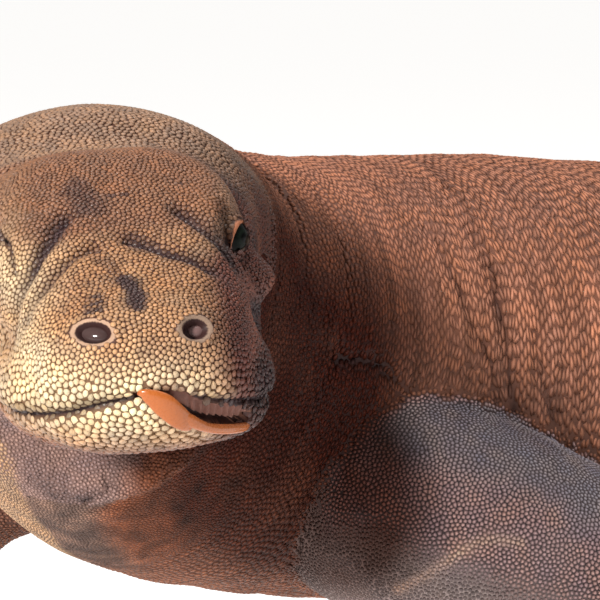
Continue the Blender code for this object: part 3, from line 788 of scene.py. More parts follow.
def mouth_relief(place, depth):
    """The open stretch: a shallow ribbed gum under the upper lip, and a deep slit under the gum.

    The height within the gap is over half the gap's, from its middle. Opening is 2 on the gum and
    1 in the slit.
    """
    s, x, h = place.T
    turn = np.degrees(np.arctan2(x, MOUTH_CENTRE * 1000 - s))
    half = smooth_curve(turn, MOUTH_GAP, 2)
    high = (h - smooth_curve(turn, MOUTH_GAP, 1)) / np.maximum(half, 0.3)
    ratio = np.where((turn > -16) & (turn < 90) & (s < 62), np.abs(high), 9.0)
    ends = fade(turn, -16, -9) * fade(turn, 90, 82)
    inside = fade(ratio, 1.2, 0.9) * ends
    gum = fade(high, -0.30, -0.05) * fade(turn, 6, 16)
    ribs = 0.95 * np.cos(turn * 2 * math.pi / 6.5 + 1.5 * high) * fade(turn, 22, 34)
    rim = bell(ratio - 1.45, 0.3) * ends
    sunk = inside * (gum * (2.2 - ribs) + (1 - gum) * depth)
    return 0.8 * rim - sunk, fade(ratio, 1.15, 1.0) * ends * (1 + gum)


def lip_relief(place):
    """Closed lips: a groove where the height is the lip line's, with a roll above and below it."""
    s, x, h = place.T
    line = smooth_curve(s / 1000, LIP_LINE) * 1000
    away = h - line
    sideways = fade(np.abs(x), 1.0, 12.0)
    reach = fade(s, 205, 165) * np.maximum(sideways, fade(s, 14, 4))
    reach = np.where(s > 210, 0, reach)
    slit = bell(away, 1.5) * reach
    rolls = 1.3 * bell(away - 6, 5) + 1.0 * bell(away + 6, 5)
    return rolls * reach - 2.6 * slit, slit


def eye_relief(spine, points, place):
    """Moves the points round each eye: behind the ball inside the lids' opening, over it outside.

    The opening is a lens between two arcs; the lids are a shell just over the ball, and they melt
    into the head's own form away from the eye.
    """
    moved = points.copy()
    open_share = np.zeros(len(points))
    lid = np.zeros(len(points))
    tilt = math.radians(EYE_TILT)
    for side in (1, -1):
        centre, gaze, rise, across = eye_frame(spine, side)
        across = across * side
        across, rise = (across * math.cos(tilt) + rise * math.sin(tilt),
                        rise * math.cos(tilt) - across * math.sin(tilt))
        offset = moved - centre
        reach = np.linalg.norm(offset, axis=1)
        near = (reach < 0.026) & (side * place[:, 1] > 0)
        ray = unit(offset)
        u = ray @ across / 0.72
        v = ray @ rise - 0.06
        w = ray @ gaze
        limit = 0.37 * np.maximum(1 - u**2, 0) ** 0.8 + 0.001
        lens = np.where((w > 0) & (np.abs(u) < 1), np.abs(v) / limit, 9.0)
        shell = EYE_RADIUS + 0.0012 - 0.0026 * fade(lens, 1.12, 0.88)
        fold = bell(lens - 1.9, 0.35) * 0.0008
        over = fade(w, 0.30, 0.62)
        target = np.where(w > 0, reach * (1 - over) + (shell - fold) * over, reach)
        share = np.where(near, fade(reach, 0.026, 0.019), 0)
        share = np.maximum(share, np.where(near & (w > 0.3), over, 0))
        moved += (ray * (target - reach)[:, None]) * share[:, None]
        over_eye = fade(v, -0.05, 0.08)
        edge = 1.36 + 0.34 * fade(u, -0.5, 0.8)
        bare = np.maximum(fade(lens, 1.16, 1.04), 0.56 * fade(lens, edge + 0.06, edge) * over_eye)
        open_share = np.maximum(open_share, np.where(share > 0.3, bare, 0))
        lid = np.maximum(lid, np.where(share > 0.3, fade(lens, edge + 0.02, edge - 0.12) * over_eye, 0))
    return moved, open_share, lid


# ---------------------------------------------------------------- skin
def flesh_shells(spine, coat):
    """Closed tubes of the body, legs, palms and toes, each smaller than its solid by the coat."""
    places = np.concatenate([0.0007 + 0.0293 * np.linspace(0, 1, 14) ** 2, np.linspace(0.036, TAIL_END, 230)])
    angles = full_turn(72)
    shells = [np.stack([section(spine, s, angles, -coat) for s in places])]
    shells[0][:, :, 2] = np.maximum(shells[0][:, :, 2], coat)
    for name in LEGS:
        points, radii, _, _ = leg_path(spine, name, 41)
        leg = tube_rings(points, radii - coat, 36, easing=30)
        floor_point, heading, outward, along, ankle, toes = foot_plan(spine, name)
        dense = np.linspace(PALM[0][0], PALM[-1][0], 16)
        wide, high, middle = (smooth_curve(dense, PALM, k) for k in (1, 2, 3))
        centres = floor_point + dense[:, None] * heading
        centres[:, 2] += middle
        palm = oval_rings(centres, wide - coat, high - coat, outward, np.array((0.0, 0.0, 1.0)), 32)
        end = leg[-1]
        shells += [leg, palm, np.stack([end, end + 0.02 * along, end * 0.8 + ankle * 0.2 + 0.042 * along])]
        for _, toe_along, root, toe_length in toes:
            path, radius = toe_path(root, toe_along, toe_length, 12)
            shells.append(tube_rings(path, radius - 0.3 * coat, 14, upright=True))
    return shells


def united_mesh(shells, voxel):
    """The shells as one closed surface, by way of a voxel grid."""
    points, faces = joined(shells)
    holder = linked("flesh", new_mesh("flesh", points.tolist(), faces))
    remesh = holder.modifiers.new("Unite", "REMESH")
    remesh.mode = "VOXEL"
    remesh.voxel_size = voxel
    graph = bpy.context.evaluated_depsgraph_get()
    made = bpy.data.meshes.new_from_object(holder.evaluated_get(graph))
    bpy.data.objects.remove(holder)
    return made


def eased(mesh, rounds, mask=None):
    """Each point moves half way to the mean of its neighbours, or as much of that as the mask says."""
    points = points_of(mesh)
    a, b = read(mesh.edges, "vertices", 2, np.int32).T
    size = len(points)
    count = np.bincount(a, minlength=size) + np.bincount(b, minlength=size)
    weight = 0.5 if mask is None else 0.5 * mask[:, None]
    for _ in range(rounds):
        total = [np.bincount(a, row[b], size) + np.bincount(b, row[a], size) for row in points.T]
        points += weight * (np.stack(total, axis=1) / np.maximum(count, 1)[:, None] - points)
    return points


def divided(mesh, chosen):
    """Splits each face whose corners are all chosen into four."""
    bm = bmesh.new()
    bm.from_mesh(mesh)
    bm.verts.ensure_lookup_table()
    edges = [e for e in bm.edges if chosen[e.verts[0].index] and chosen[e.verts[1].index]]
    bmesh.ops.subdivide_edges(bm, edges=edges, cuts=1, use_grid_fill=True)
    bm.to_mesh(mesh)
    bm.free()


def limb_places(spine, points):
    """Which leg each point is on (0 for none), how far down it, 0 to 1, and how far outside every leg."""
    best = np.zeros(len(points))
    away = np.full(len(points), 9.0)
    leg = np.zeros(len(points))
    down = np.zeros(len(points))
    for number, name in enumerate(LEGS, start=1):
        path, radii, _, _ = leg_path(spine, name, 90)
        for k in range(6, 90):
            outside = np.linalg.norm(points - path[k], axis=1) - radii[k]
            away = np.minimum(away, outside)
            depth = 0.002 + 0.008 * float(fade(k / 89, 0.3, 0.6)) - outside
            better = depth > best
            best = np.where(better, depth, best)
            leg = np.where(better, number, leg)
            down = np.where(better, k / 89, down)
        floor_point, heading, _, _, _, _ = foot_plan(spine, name)
        foot = np.linalg.norm(points[:, :2] - floor_point[:2] - 0.05 * heading[:2], axis=1) < 0.16
        foot &= points[:, 2] < 0.045
        leg = np.where(foot, number, leg)
        down = np.where(foot, 1.0, down)
    return leg, down, away


def sharpened(spine, mesh, coat):
    """Moves the points to the nearer of the body and the legs, so that the legs' creases are crisp again."""
    points = points_of(mesh)
    for _ in range(2):
        normals = normals_of(mesh)
        _, down, away = limb_places(spine, points)
        place = spine.locate(points)
        steep = np.maximum(np.linalg.norm(section_slope(place), axis=1), 1e-6)
        outside = np.minimum(section_value(place) / steep, away) + coat
        share = fade(down, 0.92, 0.84) * fade(place[:, 0], 2.60, 2.50)
        points = points - normals * (share * np.clip(outside, -0.004, 0.004))[:, None]
        set_points(mesh, points)


def under_neck(place, leg):
    """1 under the neck's bend, where the sections crowd together, fading to 0 round it."""
    s, _, h = place.T
    return (leg == 0) * fade(s, 0.225, 0.25) * fade(s, 0.46, 0.42) * fade(h, -0.03, -0.07)


def halved_next(spine, points, region):
    """Points whose faces are split in this round: the front, the head, the muzzle and eyes, the nostrils."""
    place = spine.locate(points)
    leg = limb_places(spine, points)[0]
    chosen = (place[:, 0] < FINER_TO[region]) & (leg == 0)
    if region == "front":
        chosen &= (place[:, 0] < 0.26) | (place[:, 1] > -0.01)
    if region == "muzzle":
        for side in (1, -1):
            chosen |= np.linalg.norm(points - eye_frame(spine, side)[0], axis=1) < 0.019
    if region == "nostrils":
        for centre, long, _, _, _, _ in NOSTRILS:
            chosen |= np.linalg.norm(place * 1000 - np.array(centre), axis=1) < long + 2.5
    return chosen


def put_on_form(spine, points, place, leg):
    """Moves the head's and neck's points until section_value is 0 there, and in by the coat's depth."""
    front = (leg == 0) * fade(place[:, 0], 0.43, 0.37)
    near = front > 0
    at = place[near]
    for _ in range(7):
        slope = section_slope(at)
        at = at - (section_value(at) / np.maximum((slope**2).sum(axis=1), 1e-9))[:, None] * slope
    at = at - sizes().coat * unit(section_slope(at))
    share = front[near][:, None]
    place[near] = place[near] * (1 - share) + at * share
    points[near] = spine.place(*place[near].T)


def head_relief(place):
    """Rise, painted shade of the creases, and opening of the head's skin at places in millimetres."""
    sided = mirrored(place)
    rise = np.zeros(len(place))
    for side, centre, radii, height in HEAD_SWELLS:
        rise += height * bump(place if side else sided, centre, radii)
    deep, crease = groove(place, sided, CREASES)
    lip, slit = lip_relief(place)
    mouth, mouth_open = mouth_relief(place, sizes().mouth_depth * 1000)
    pits, pit_open = nostril_relief(place)
    closed = 1 - np.clip(mouth_open, 0, 1)
    rise += lip * closed + mouth + pits - deep
    return rise, np.maximum(crease, 0.85 * slit * closed), np.maximum(mouth_open, pit_open)


def shape_skin(spine, mesh):
    """Puts the head and neck on their true form, then raises and sinks the skin's relief."""
    points = points_of(mesh)
    leg, down, _ = limb_places(spine, points)
    place = spine.locate(points)
    put_on_form(spine, points, place, leg)
    set_points(mesh, points)
    bent = under_neck(place, leg)
    points = eased(mesh, 8, mask=bent)
    set_points(mesh, points)
    normals = normals_of(mesh)
    s = place[:, 0]
    on_trunk = leg == 0
    rise, crease, opening = np.zeros((3, len(points)))
    head = on_trunk & (s < 0.26)
    rise[head], crease[head], opening[head] = head_relief(place[head] * 1000)
    body = on_trunk & (s > 0.2) & (s < 0.8)
    deep, dark = groove(place[body] * 1000, mirrored(place[body] * 1000), FOLDS)
    rise[body] -= deep
    crease[body] = np.maximum(crease[body], dark)
    wave = layered_noise(place * (90, 22, 22), 3) * fade(s, 0.22, 0.34) * fade(s, 1.9, 1.2)
    broad = layered_noise(points * 16, 9, 2) * fade(s, 0.2, 0.4)
    ripple = layered_noise(points * 60, 5) * fade(down, 1.0, 0.8)
    rise += np.where(on_trunk, 0.9 * wave + 0.8 * broad, 0.7 * ripple)
    thin = fade(points[:, 2], 0.004, 0.02)
    points = points + normals * (rise * 0.001 * thin)[:, None]
    points, eye_open, lid = eye_relief(spine, points, place)
    points[:, 2] = np.maximum(points[:, 2], 0.0006)
    set_points(mesh, points)
    set_points(mesh, eased(mesh, 1, mask=bent))
    put(mesh, "place", "FLOAT_VECTOR", place)
    put(mesh, "limb", "FLOAT_VECTOR", np.column_stack([leg, down, lid]))
    # the relief's first column is how much painted shade lies in the creases, folds and the lips' groove
    put(mesh, "relief", "FLOAT_VECTOR", np.column_stack([crease, np.maximum(opening, eye_open), rise]))


# ---------------------------------------------------------------- markings
def mix(a, b, share):
    return a * (1 - share[:, None]) + b * share[:, None]


class Site:
    """Where each point lies on the animal, and the noise that breaks up its colours."""

    def __init__(self, points, normals, place, limb, relief):
        self.s, self.x, self.h = place.T
        self.leg, self.down, self.lid = limb.T
        self.crease, self.opening, _ = relief.T
        self.upward = normals[:, 2]
        self.millimetres = place * 1000
        self.sided = mirrored(self.millimetres)
        self.on_leg = fade(self.leg, 0.2, 0.8)
        self.blotch = layered_noise(points * 28, 21)
        self.fine = layered_noise(points * 110, 31, 2)
        self.tint = {key: np.array(getattr(colours(), key)) for key in KomodoColours.__annotations__}

    def on_line(self, line, half_width):
        """1 within about half_width millimetres of a line, falling steeply to 0 outside."""
        return bell(line_distance(self.millimetres, line), half_width, 4)


def head_colours(at):
    """Gold face with cream lips, cheeks and brows, a darker crown, and painted highlights on the front of the
    upper lip and on the brow ridges.
    """
    tint = at.tint
    cream = fade(at.h, 0.022, -0.004) + 0.55 * bump(at.sided, (60, 50, 16), (34, 24, 22)) + 0.25 * at.blotch
    cream = np.clip(cream, 0, 1)
    # the brow ridges are paler: cream scales, and a painted highlight where they catch the light
    cream = np.clip(cream + 0.7 * bump(at.sided, (104, 46, 50), (24, 10, 9)), 0, 1)
    cream = np.clip(cream + 0.6 * bump(at.millimetres, (98, -54, 34), (28, 16, 18)), 0, 1)
    top = mix(tint["gold"], tint["cream"], cream)
    # painted highlight: the front of the upper lip, round the snout's tip, is lightened
    top = top * (1 + 0.30 * bump(at.millimetres, (4, 2, 2), (16, 24, 12)))[:, None]
    crown = fade(at.s + 0.6 * at.h, 0.088, 0.118) * fade(at.h, 0.030, 0.046)
    top = mix(top, tint["crown"], np.clip(crown * (0.9 + 0.3 * at.blotch), 0, 1))
    gap = mix(tint["head_gap"], tint["cream"] * np.array((0.33, 0.25, 0.21)), cream * 0.75)
    return top, gap


def body_colours(at, top, gap):
    """Pale nape and throat, red-brown trunk, and a banded, darker tail, behind the head's colours."""
    s, x, h, tint = at.s, at.x, at.h, at.tint
    nape = fade(s, 0.198, 0.214) * fade(h, -0.01, 0.03) * fade(s, 0.33, 0.28)
    under = fade(s, 0.15, 0.23) * fade(h, 0.0, -0.05)
    body = mix(tint["trunk"], tint["nape"] * (1 - 0.15 * fade(x, -0.01, -0.04))[:, None], nape)
    pouch = under * fade(s, 0.43, 0.37) * fade(h, -0.060, -0.085)
    below = mix(tint["throat"], tint["speckle"], fade(s, 0.302, 0.316))
    below = mix(below, tint["speckle"] * np.array((1.35, 0.78, 0.50)), fade(x, 0.010, 0.030))
    below = below * (1 + 0.45 * at.fine * fade(s, 0.28, 0.30))[:, None]
    body = mix(body, below, pouch)
    border = np.clip(0.35 * (s - 0.284) - 0.041, -0.052, -0.012)
    flank = fade(x - border, 0.003, -0.004) * fade(s, 0.20, 0.24) * fade(s, 0.50, 0.44) * fade(h, 0.0, -0.04)
    body = mix(body, tint["flank"], flank)
    body = mix(body, tint["belly"], fade(h, -0.07, -0.115) * fade(s, 0.5, 0.7) * 0.7)
    body = mix(body, tint["tail"], fade(s, 1.1, 1.5))
    bands = 0.5 + 0.5 * np.sin(s * 42 + 2.2 * at.blotch)
    body = body * (1 - 0.25 * bands * fade(s, 1.3, 1.6))[:, None]
    rear = np.maximum(fade(s, 0.198, 0.212), under)
    gap = mix(gap, tint["trunk_gap"], rear)
    gap = mix(gap, tint["head_gap"], 0.8 * nape)
    gap = mix(gap, below * np.array((0.62, 0.56, 0.54)), pouch)
    return mix(top, body, rear), gap


def limb_colours(at, top, gap):
    """Grey arms, paler and pinker on their sides; the right arm and the hind legs are brown."""
    leg, down, tint = at.leg, at.down, at.tint
    high = fade(at.upward, 0.30, 0.75)
    lace = np.clip(np.maximum(fade(at.upward, 0.10, -0.30), fade(down, 0.42, 0.60)) + 0.2 * at.blotch, 0, 1)
    limb_top = mix(tint["arm_side"], tint["arm"], np.clip(high + 0.3 * at.blotch, 0, 1))
    limb_top = mix(limb_top, tint["arm_low"], lace)
    limb_gap = mix(tint["arm_dark"], tint["arm_gap"], lace * (1 - high))
    hind = fade(leg, 2.4, 2.6)
    far_arm = fade(leg, 1.4, 1.6) * (1 - hind) * fade(down, 0.95, 0.70)
    limb_top = mix(limb_top, tint["trunk"] * 0.75, far_arm)
    limb_gap = mix(limb_gap, tint["trunk_gap"] * 0.6, far_arm)
    # pale band on the elbow's ridge, partly a painted highlight
    ridge = bell(line_distance(at.millimetres, ELBOW_RIDGE), 2.8) * fade(leg, 1.4, 1.2)
    limb_top = mix(limb_top, np.array(RIDGE_SCALE), 0.85 * ridge)
    limb_gap = mix(limb_gap, np.array(RIDGE_GAP), 0.8 * ridge)
    limb_top = mix(limb_top, tint["tail"] * 1.15, hind)
    limb_gap = mix(limb_gap, tint["trunk_gap"], hind)
    share = at.on_leg * fade(down, 0.04, 0.11)
    return mix(top, limb_top, share), mix(gap, limb_gap, share)


def head_shadow_share(at):
    """Painted shadow of the head on the left of the neck and the shoulder, over the root of the left arm,
    partly the neck's darker brown.
    """
    s, x, h = at.s, at.x, at.h
    level = h / smooth_curve(s, STATIONS, 3)
    cast_shadow = fade(s, 0.19, 0.25) * fade(s, 0.53, 0.45) * fade(x, -0.010, 0.032) * fade(level, 0.95, 0.02)
    cast_shadow = cast_shadow * np.maximum(fade(h, -0.138, -0.105), 0.8 * fade(s, 0.44, 0.50)) * (1 - at.on_leg)
    cast_shadow = cast_shadow + 0.9 * at.on_leg * fade(at.leg, 1.4, 1.2) * fade(s, 0.497, 0.466)
    return np.clip(cast_shadow * (1 + 0.15 * at.blotch), 0, 1) * (1 - 0.12 * fade(h, -0.07, -0.11))


def shade_shares(at):
    """How strong each of the SHADES, the patches of painted shade and the right cheek's darker patch, is at
    each point.
    """
    s, x, h = at.s, at.x, at.h
    over_lip = at.millimetres[:, 2] - smooth_curve(s, LIP_LINE) * 1000
    turn = np.degrees(np.arctan2(x, MOUTH_CENTRE - s))
    over_gum = at.millimetres[:, 2] - smooth_curve(turn, MOUTH_GAP, 1) - smooth_curve(turn, MOUTH_GAP, 2)
    by_gum = fade(turn, -2, 10) * fade(s, 0.066, 0.060) * fade(at.leg, 0.5, 0.4)
    on_lip = bell(over_lip - 2.5, 3.0) * fade(x, -0.008, -0.022)
    ahead_of_neck = fade(s, 0.24, 0.20)
    return {
        # painted shade under the upper lip, along the top of the open mouth
        "under the gum": 0.9 * bell(over_gum, 3.2, 4) * by_gum,
        # painted shade on the snout's side that is turned from the light, partly its darker brown
        "snout's side": fade(x, 0.018, 0.041) * fade(s, 0.002, 0.020) * ahead_of_neck * fade(h, 0.046, 0.034),
        # painted shade on the jowl behind the lip, turned from the light
        "jowl": fade(x, 0.040, 0.050) * fade(s, 0.012, 0.026) * ahead_of_neck * fade(h, 0.008, -0.006),
        # the head's painted shadow on the neck and shoulder
        "shoulder": head_shadow_share(at),
        # painted shade in the hollow under the left brow
        "brow": 0.9 * at.on_line(BROW_HOLLOW, 4.4) * fade(s, 0.14, 0.12),
        # painted shade over the closed lip line, on the right of the mouth
        "upper lip": 0.9 * on_lip * fade(s, 0.10, 0.07),
        # painted shade on the left of the muzzle, turned from the light
        "left muzzle": bump(at.millimetres, (20, 38, 4), (20, 16, 16)),
        "right cheek": bump(at.millimetres, (75, -56, 2), (34, 16, 22)),
    }


def shaded(at, top, gap):
    """Darkens the shades' patches, most of them painted shade, lays streaks and speckle over all, and darkens
    the chin.
    """
    s, h = at.s, at.h
    for name, share in shade_shares(at).items():
        shade = np.array(SHADES[name])
        top = mix(top, top * shade, share)
        gap = mix(gap, gap * shade, share)
    streak = np.stack([s * 400 + 14 * h, np.arctan2(h, at.x) * 3.2, at.x * 0], axis=1)
    streak = 1 + 0.30 * (value_noise(streak, 41) * fade(s, 0.34, 0.42) * (1 - at.on_leg))[:, None]
    top = top * streak * (1 + 0.10 * at.blotch + 0.10 * at.fine)[:, None]
    chin = fade(h, -0.008, -0.030) * fade(s, 0.20, 0.15) * (1 - at.on_leg)
    top = mix(top, top * np.array(CHIN_SHADE), chin)
    top = mix(top, top * np.array(CHIN_EDGE_SHADE), chin * fade(h, -0.026, -0.036))
    return top * (1 + np.outer(at.fine, (0.06, 0.0, -0.10))), gap * streak


def marked(at, top, gap):
    """Draws painted shade in the creases and thin dark lines of painted shade along the folds, and the head's
    marks, some of them painted shade too.
    """
    on_head = at.s < 0.2
    # painted shade in the creases and the lips' groove
    dark = 1.3 * at.crease
    head = on_head & (at.leg < 0.5)
    for wide, darkness, line in MARKS_AND_SHADE_LINES:
        distance = line_distance(at.millimetres[head], line) * (1 + 0.25 * at.fine[head])
        dark[head] = np.maximum(dark[head], darkness * bell(distance, wide, 4))
    dark = dark * np.where(on_head, 1.0, 0.3)
    for side, _, wide, darkness, line in FOLDS:
        distance = line_distance(at.millimetres if side else at.sided, line)
        dark = np.maximum(dark, darkness * bell(distance, 0.42 * wide))
    dark = np.clip(dark, 0, 0.95)
    mark = at.tint["mark"] * np.where(on_head, 1.0, 0.4)[:, None]
    return mix(top, mark, dark), mix(gap, mark, dark)


def opened(at, top, gap):
    """Colours the eyelids' edges, the gum and the rims of the nostrils, and paints shade into the hollows."""
    s, x, h, tint = at.s, at.x, at.h, at.tint
    top = mix(top, tint["lid"], at.lid * 0.9)
    gap = mix(gap, tint["lid"], at.lid * 0.9)
    gum = fade(at.opening, 1.0, 1.4)
    gap = mix(gap, tint["gum"], gum)
    lips = fade(h, 0.010, 0.004)[:, None] * np.array((0.95, 0.66, 0.62)) + fade(h, 0.004, 0.010)[:, None]
    warm = 1 + (fade(x, 0.0, -0.01) * fade(h, 0.012, 0.022))[:, None] * np.array((0.45, 0.36, 0.26))
    rim = tint["rim"] * lips * warm * (1 - 0.65 * fade(s, 0.05, 0.06))[:, None]
    gap = mix(gap, rim, fade(at.opening, 0.30, 0.52) * (1 - gum) * (1 - at.lid))
    # painted shade in the hollows of the nostrils, the mouth and the eyes
    gap = mix(gap, tint["hollow"] * 0.55, fade(at.opening, 0.65, 0.9) * (1 - gum) * (1 - at.lid))
    return top, gap


def markings(points, normals, place, limb, relief):
    """Colour of the scales' tops and of the skin between them at each point.

    Regions fade into each other along the spine, round the body and down the legs. Painted shade then darkens
    patches, noise breaks up every region, and marks, painted shade in the creases and hollows, and the
    openings lie over all.
    """
    at = Site(points, normals, place, limb, relief)
    top, gap = head_colours(at)
    for paint in (body_colours, limb_colours, shaded, marked, opened):
        top, gap = paint(at, top, gap)
    return top, gap


# ---------------------------------------------------------------- materials
def set_inputs(node, values):
    for label, value in values.items():
        node.inputs[label].default_value = value


def add_node(tree, kind, values=(), **settings):
    """Node of this kind with its settings, then its inputs' values."""
    made = tree.nodes.new(kind)
    for key, value in settings.items():
        setattr(made, key, value)
    set_inputs(made, dict(values))
    return made


def link_all(tree, pairs):
    """Links each (node, output, other node, input)."""
    for start, output, end, entry in pairs:
        tree.links.new(start.outputs[output], end.inputs[entry])


def mottle_group():
    """Fine speckle on a colour: noise lightens and darkens it, and also gives roughness and grain."""
    group = bpy.data.node_groups.get("mottle")
    if group:
        return group
    group = bpy.data.node_groups.new("mottle", "ShaderNodeTree")
    kinds = {"Color": "NodeSocketColor"}
    for label in ("Color", "Scale", "Amount", "Rough Low", "Rough High"):
        group.interface.new_socket(label, in_out="INPUT", socket_type=kinds.get(label, "NodeSocketFloat"))
    for label in ("Color", "Roughness", "Height"):
        group.interface.new_socket(label, in_out="OUTPUT", socket_type=kinds.get(label, "NodeSocketFloat"))
    entry = add_node(group, "NodeGroupInput")
    leave = add_node(group, "NodeGroupOutput")
    where = add_node(group, "ShaderNodeTexCoord")
    noise = add_node(group, "ShaderNodeTexNoise", {"Detail": 3.0})
    centred = add_node(group, "ShaderNodeMath", {1: 0.5}, operation="SUBTRACT")
    strength = add_node(group, "ShaderNodeMath", {2: 1.0}, operation="MULTIPLY_ADD")
    scaled = add_node(group, "ShaderNodeVectorMath", operation="SCALE")
    rough = add_node(group, "ShaderNodeMapRange", {"From Min": 0.3, "From Max": 0.7})
    link_all(group, (
        (where, "Object", noise, "Vector"), (entry, "Scale", noise, "Scale"),
        (noise, "Fac", centred, 0), (centred, 0, strength, 0), (entry, "Amount", strength, 1),
        (entry, "Color", scaled, 0), (strength, 0, scaled, "Scale"),
        (noise, "Fac", rough, "Value"), (entry, "Rough Low", rough, "To Min"),
        (entry, "Rough High", rough, "To Max"),
        (scaled, 0, leave, "Color"), (rough, "Result", leave, "Roughness"), (noise, "Fac", leave, "Height"),
    ))
    return group


def new_material(name, values):
    """Principled material with these values in its shader's inputs."""
    made = bpy.data.materials.new(name)
    made.use_nodes = True
    set_inputs(made.node_tree.nodes["Principled BSDF"], values)
    return made


def painted_material(name):
    """Principled shader whose colour is the mesh's own "paint" through the mottle group."""
    made = bpy.data.materials.get(name)
    if made:
        return made
    scale, amount, rough_low, rough_high, bump_depth, coat, specular = FINISHES[name]
    values = {"Coat Weight": coat, "Coat Roughness": 0.12, "Specular IOR Level": specular}
    made = new_material(name, values)
    tree = made.node_tree
    shader = tree.nodes["Principled BSDF"]
    paint = add_node(tree, "ShaderNodeAttribute", attribute_name="paint")
    settings = {"Scale": scale, "Amount": amount, "Rough Low": rough_low, "Rough High": rough_high}
    mottle = add_node(tree, "ShaderNodeGroup", settings, node_tree=mottle_group())
    relief = add_node(tree, "ShaderNodeBump", {"Strength": 0.6, "Distance": bump_depth})
    link_all(tree, (
        (paint, "Color", mottle, "Color"), (mottle, "Color", shader, "Base Color"),
        (mottle, "Roughness", shader, "Roughness"), (mottle, "Height", relief, "Height"),
        (relief, "Normal", shader, "Normal"),
    ))
    return made


# ---------------------------------------------------------------- operators
class KOMODO_OT_skin(bpy.types.Operator):
    """One skin over the head, neck, trunk, tail, legs and toes, with the folds of the head and neck"""

    bl_idname = "komodo.skin"
    bl_label = "Skin"

    def execute(self, context):
        spine = Spine()
        coat = sizes().coat
        mesh = united_mesh(flesh_shells(spine, coat), sizes().voxel)
        set_points(mesh, eased(mesh, 4))
        for region in FINER_TO:
            divided(mesh, halved_next(spine, points_of(mesh), region))
        sharpened(spine, mesh, coat)
        shape_skin(spine, mesh)
        mesh.name = "skin"
        _, gap = markings(points_of(mesh), normals_of(mesh), *facts_of(mesh))
        put(mesh, "paint", "FLOAT_COLOR", opaque(gap))
        skin = add_object("skin", mesh, painted_material("hide"))
        kept = ("eye", "claw", "tongue")
        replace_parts(skin, *[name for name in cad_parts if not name.startswith(kept)])
        return {"FINISHED"}


def head_spacing(place):
    """Spacing of the head's scales: widest on the lips, finest on the crown."""
    setting = sizes()
    s, x, h = place.T
    muzzle = setting.lip_scale + (setting.snout_scale - setting.lip_scale) * fade(h, -0.004, 0.016)
    head = muzzle + (setting.crown_scale - muzzle) * fade(s + h, 0.085, 0.12) * fade(h, 0.0, 0.03)
    head = head + 0.0006 * fade(h, 0.0, -0.05)
    below = fade(h, -0.030, -0.050) * fade(x, -0.060, -0.035) * fade(x, 0.085, 0.060)
    neck = setting.neck_scale + (setting.throat_scale - setting.neck_scale) * below
    return head + (neck - head) * fade(s, 0.195, 0.225)


def row_pitch(s):
    """Distance between the body's rows of scales, and the scales' length along their row."""
    setting = sizes()
    row = setting.neck_scale + (setting.trunk_row - setting.neck_scale) * fade(s, 0.36, 0.48)
    row = row + (setting.rear_row - row) * fade(s, 0.80, 1.15)
    run = setting.neck_scale + (setting.trunk_scale - setting.neck_scale) * fade(s, 0.38, 0.54)
    run = run + (setting.rear_scale - run) * fade(s, 0.80, 1.15)
    slim = 1 - 0.40 * fade(s, 1.7, 2.6)
    return row * slim, run * slim * (1 - 0.15 * fade(s, 1.4, 1.8))


def even_steps(start, end, pitch):
    """Places from start to end whose steps follow the pitch: the running sum of 1 / pitch, cut evenly."""
    fine = np.linspace(start, end, 4001)
    total = np.concatenate([[0.0], np.cumsum(1 / pitch(0.5 * (fine[1:] + fine[:-1]))) * (fine[1] - fine[0])])
    return np.interp(np.arange(0.5, total[-1]), total, fine)


def row_seeds(spine, rng):
    """Places in rows round the body, evenly along each section's outline, every row begun elsewhere."""
    angles = np.linspace(0, 2 * math.pi, 193)
    found = []
    lengths = []
    for s in even_steps(BODY_START, TAIL_END - 0.002, lambda at: row_pitch(at)[0]):
        row, run = row_pitch(s)
        ring = section(spine, s, angles, 0.0)
        outline = run_along(ring)
        count = max(8, round(outline[-1] / run))
        at = (np.arange(count) + rng.random() + 0.30 * (rng.random(count) - 0.5)) * outline[-1] / count
        places = between(at % outline[-1], outline, ring)
        found.append(places + 0.25 * row * (rng.random((count, 1)) - 0.5) * unit(spine.at(s)[1]))
        lengths.append(np.full((count, 2), (row, run)))
    return np.concatenate(found), np.concatenate(lengths)


def limb_seeds(spine, name, pitch, rng):
    """Places in a grid of rows round a leg and lines down it."""
    path, radii, _, _ = leg_path(spine, name, 160)
    side, up = tube_frames(path, easing=40)
    run = run_along(path)
    found = []
    for at in np.arange(pitch / 2, run[-1], pitch):
        centre, across, over = (between(at, run, rows) for rows in (path, side, up))
        radius = np.interp(at, run, radii)
        count = max(8, round(2 * math.pi * radius / pitch))
        turn = 2 * math.pi * (np.arange(count) + rng.random() + 0.35 * (rng.random(count) - 0.5)) / count
        found.append(centre + radius * (np.cos(turn)[:, None] * across + np.sin(turn)[:, None] * over))
    found = np.concatenate(found)
    return found + 0.22 * pitch * (rng.random(found.shape) - 0.5)


def tree_of(points):
    tree = KDTree(len(points))
    for i, p in enumerate(points.tolist()):
        tree.insert(p, i)
    tree.balance()
    return tree


def thinned(points, least):
    """Leaves out each point that lies nearer to an earlier one than its least distance."""
    tree = tree_of(points)
    gone = np.zeros(len(points), dtype=bool)
    for i, (p, reach) in enumerate(zip(points.tolist(), least.tolist())):
        if not gone[i]:
            for _, j, _ in tree.find_range(p, reach):
                if j > i:
                    gone[j] = True
    return ~gone


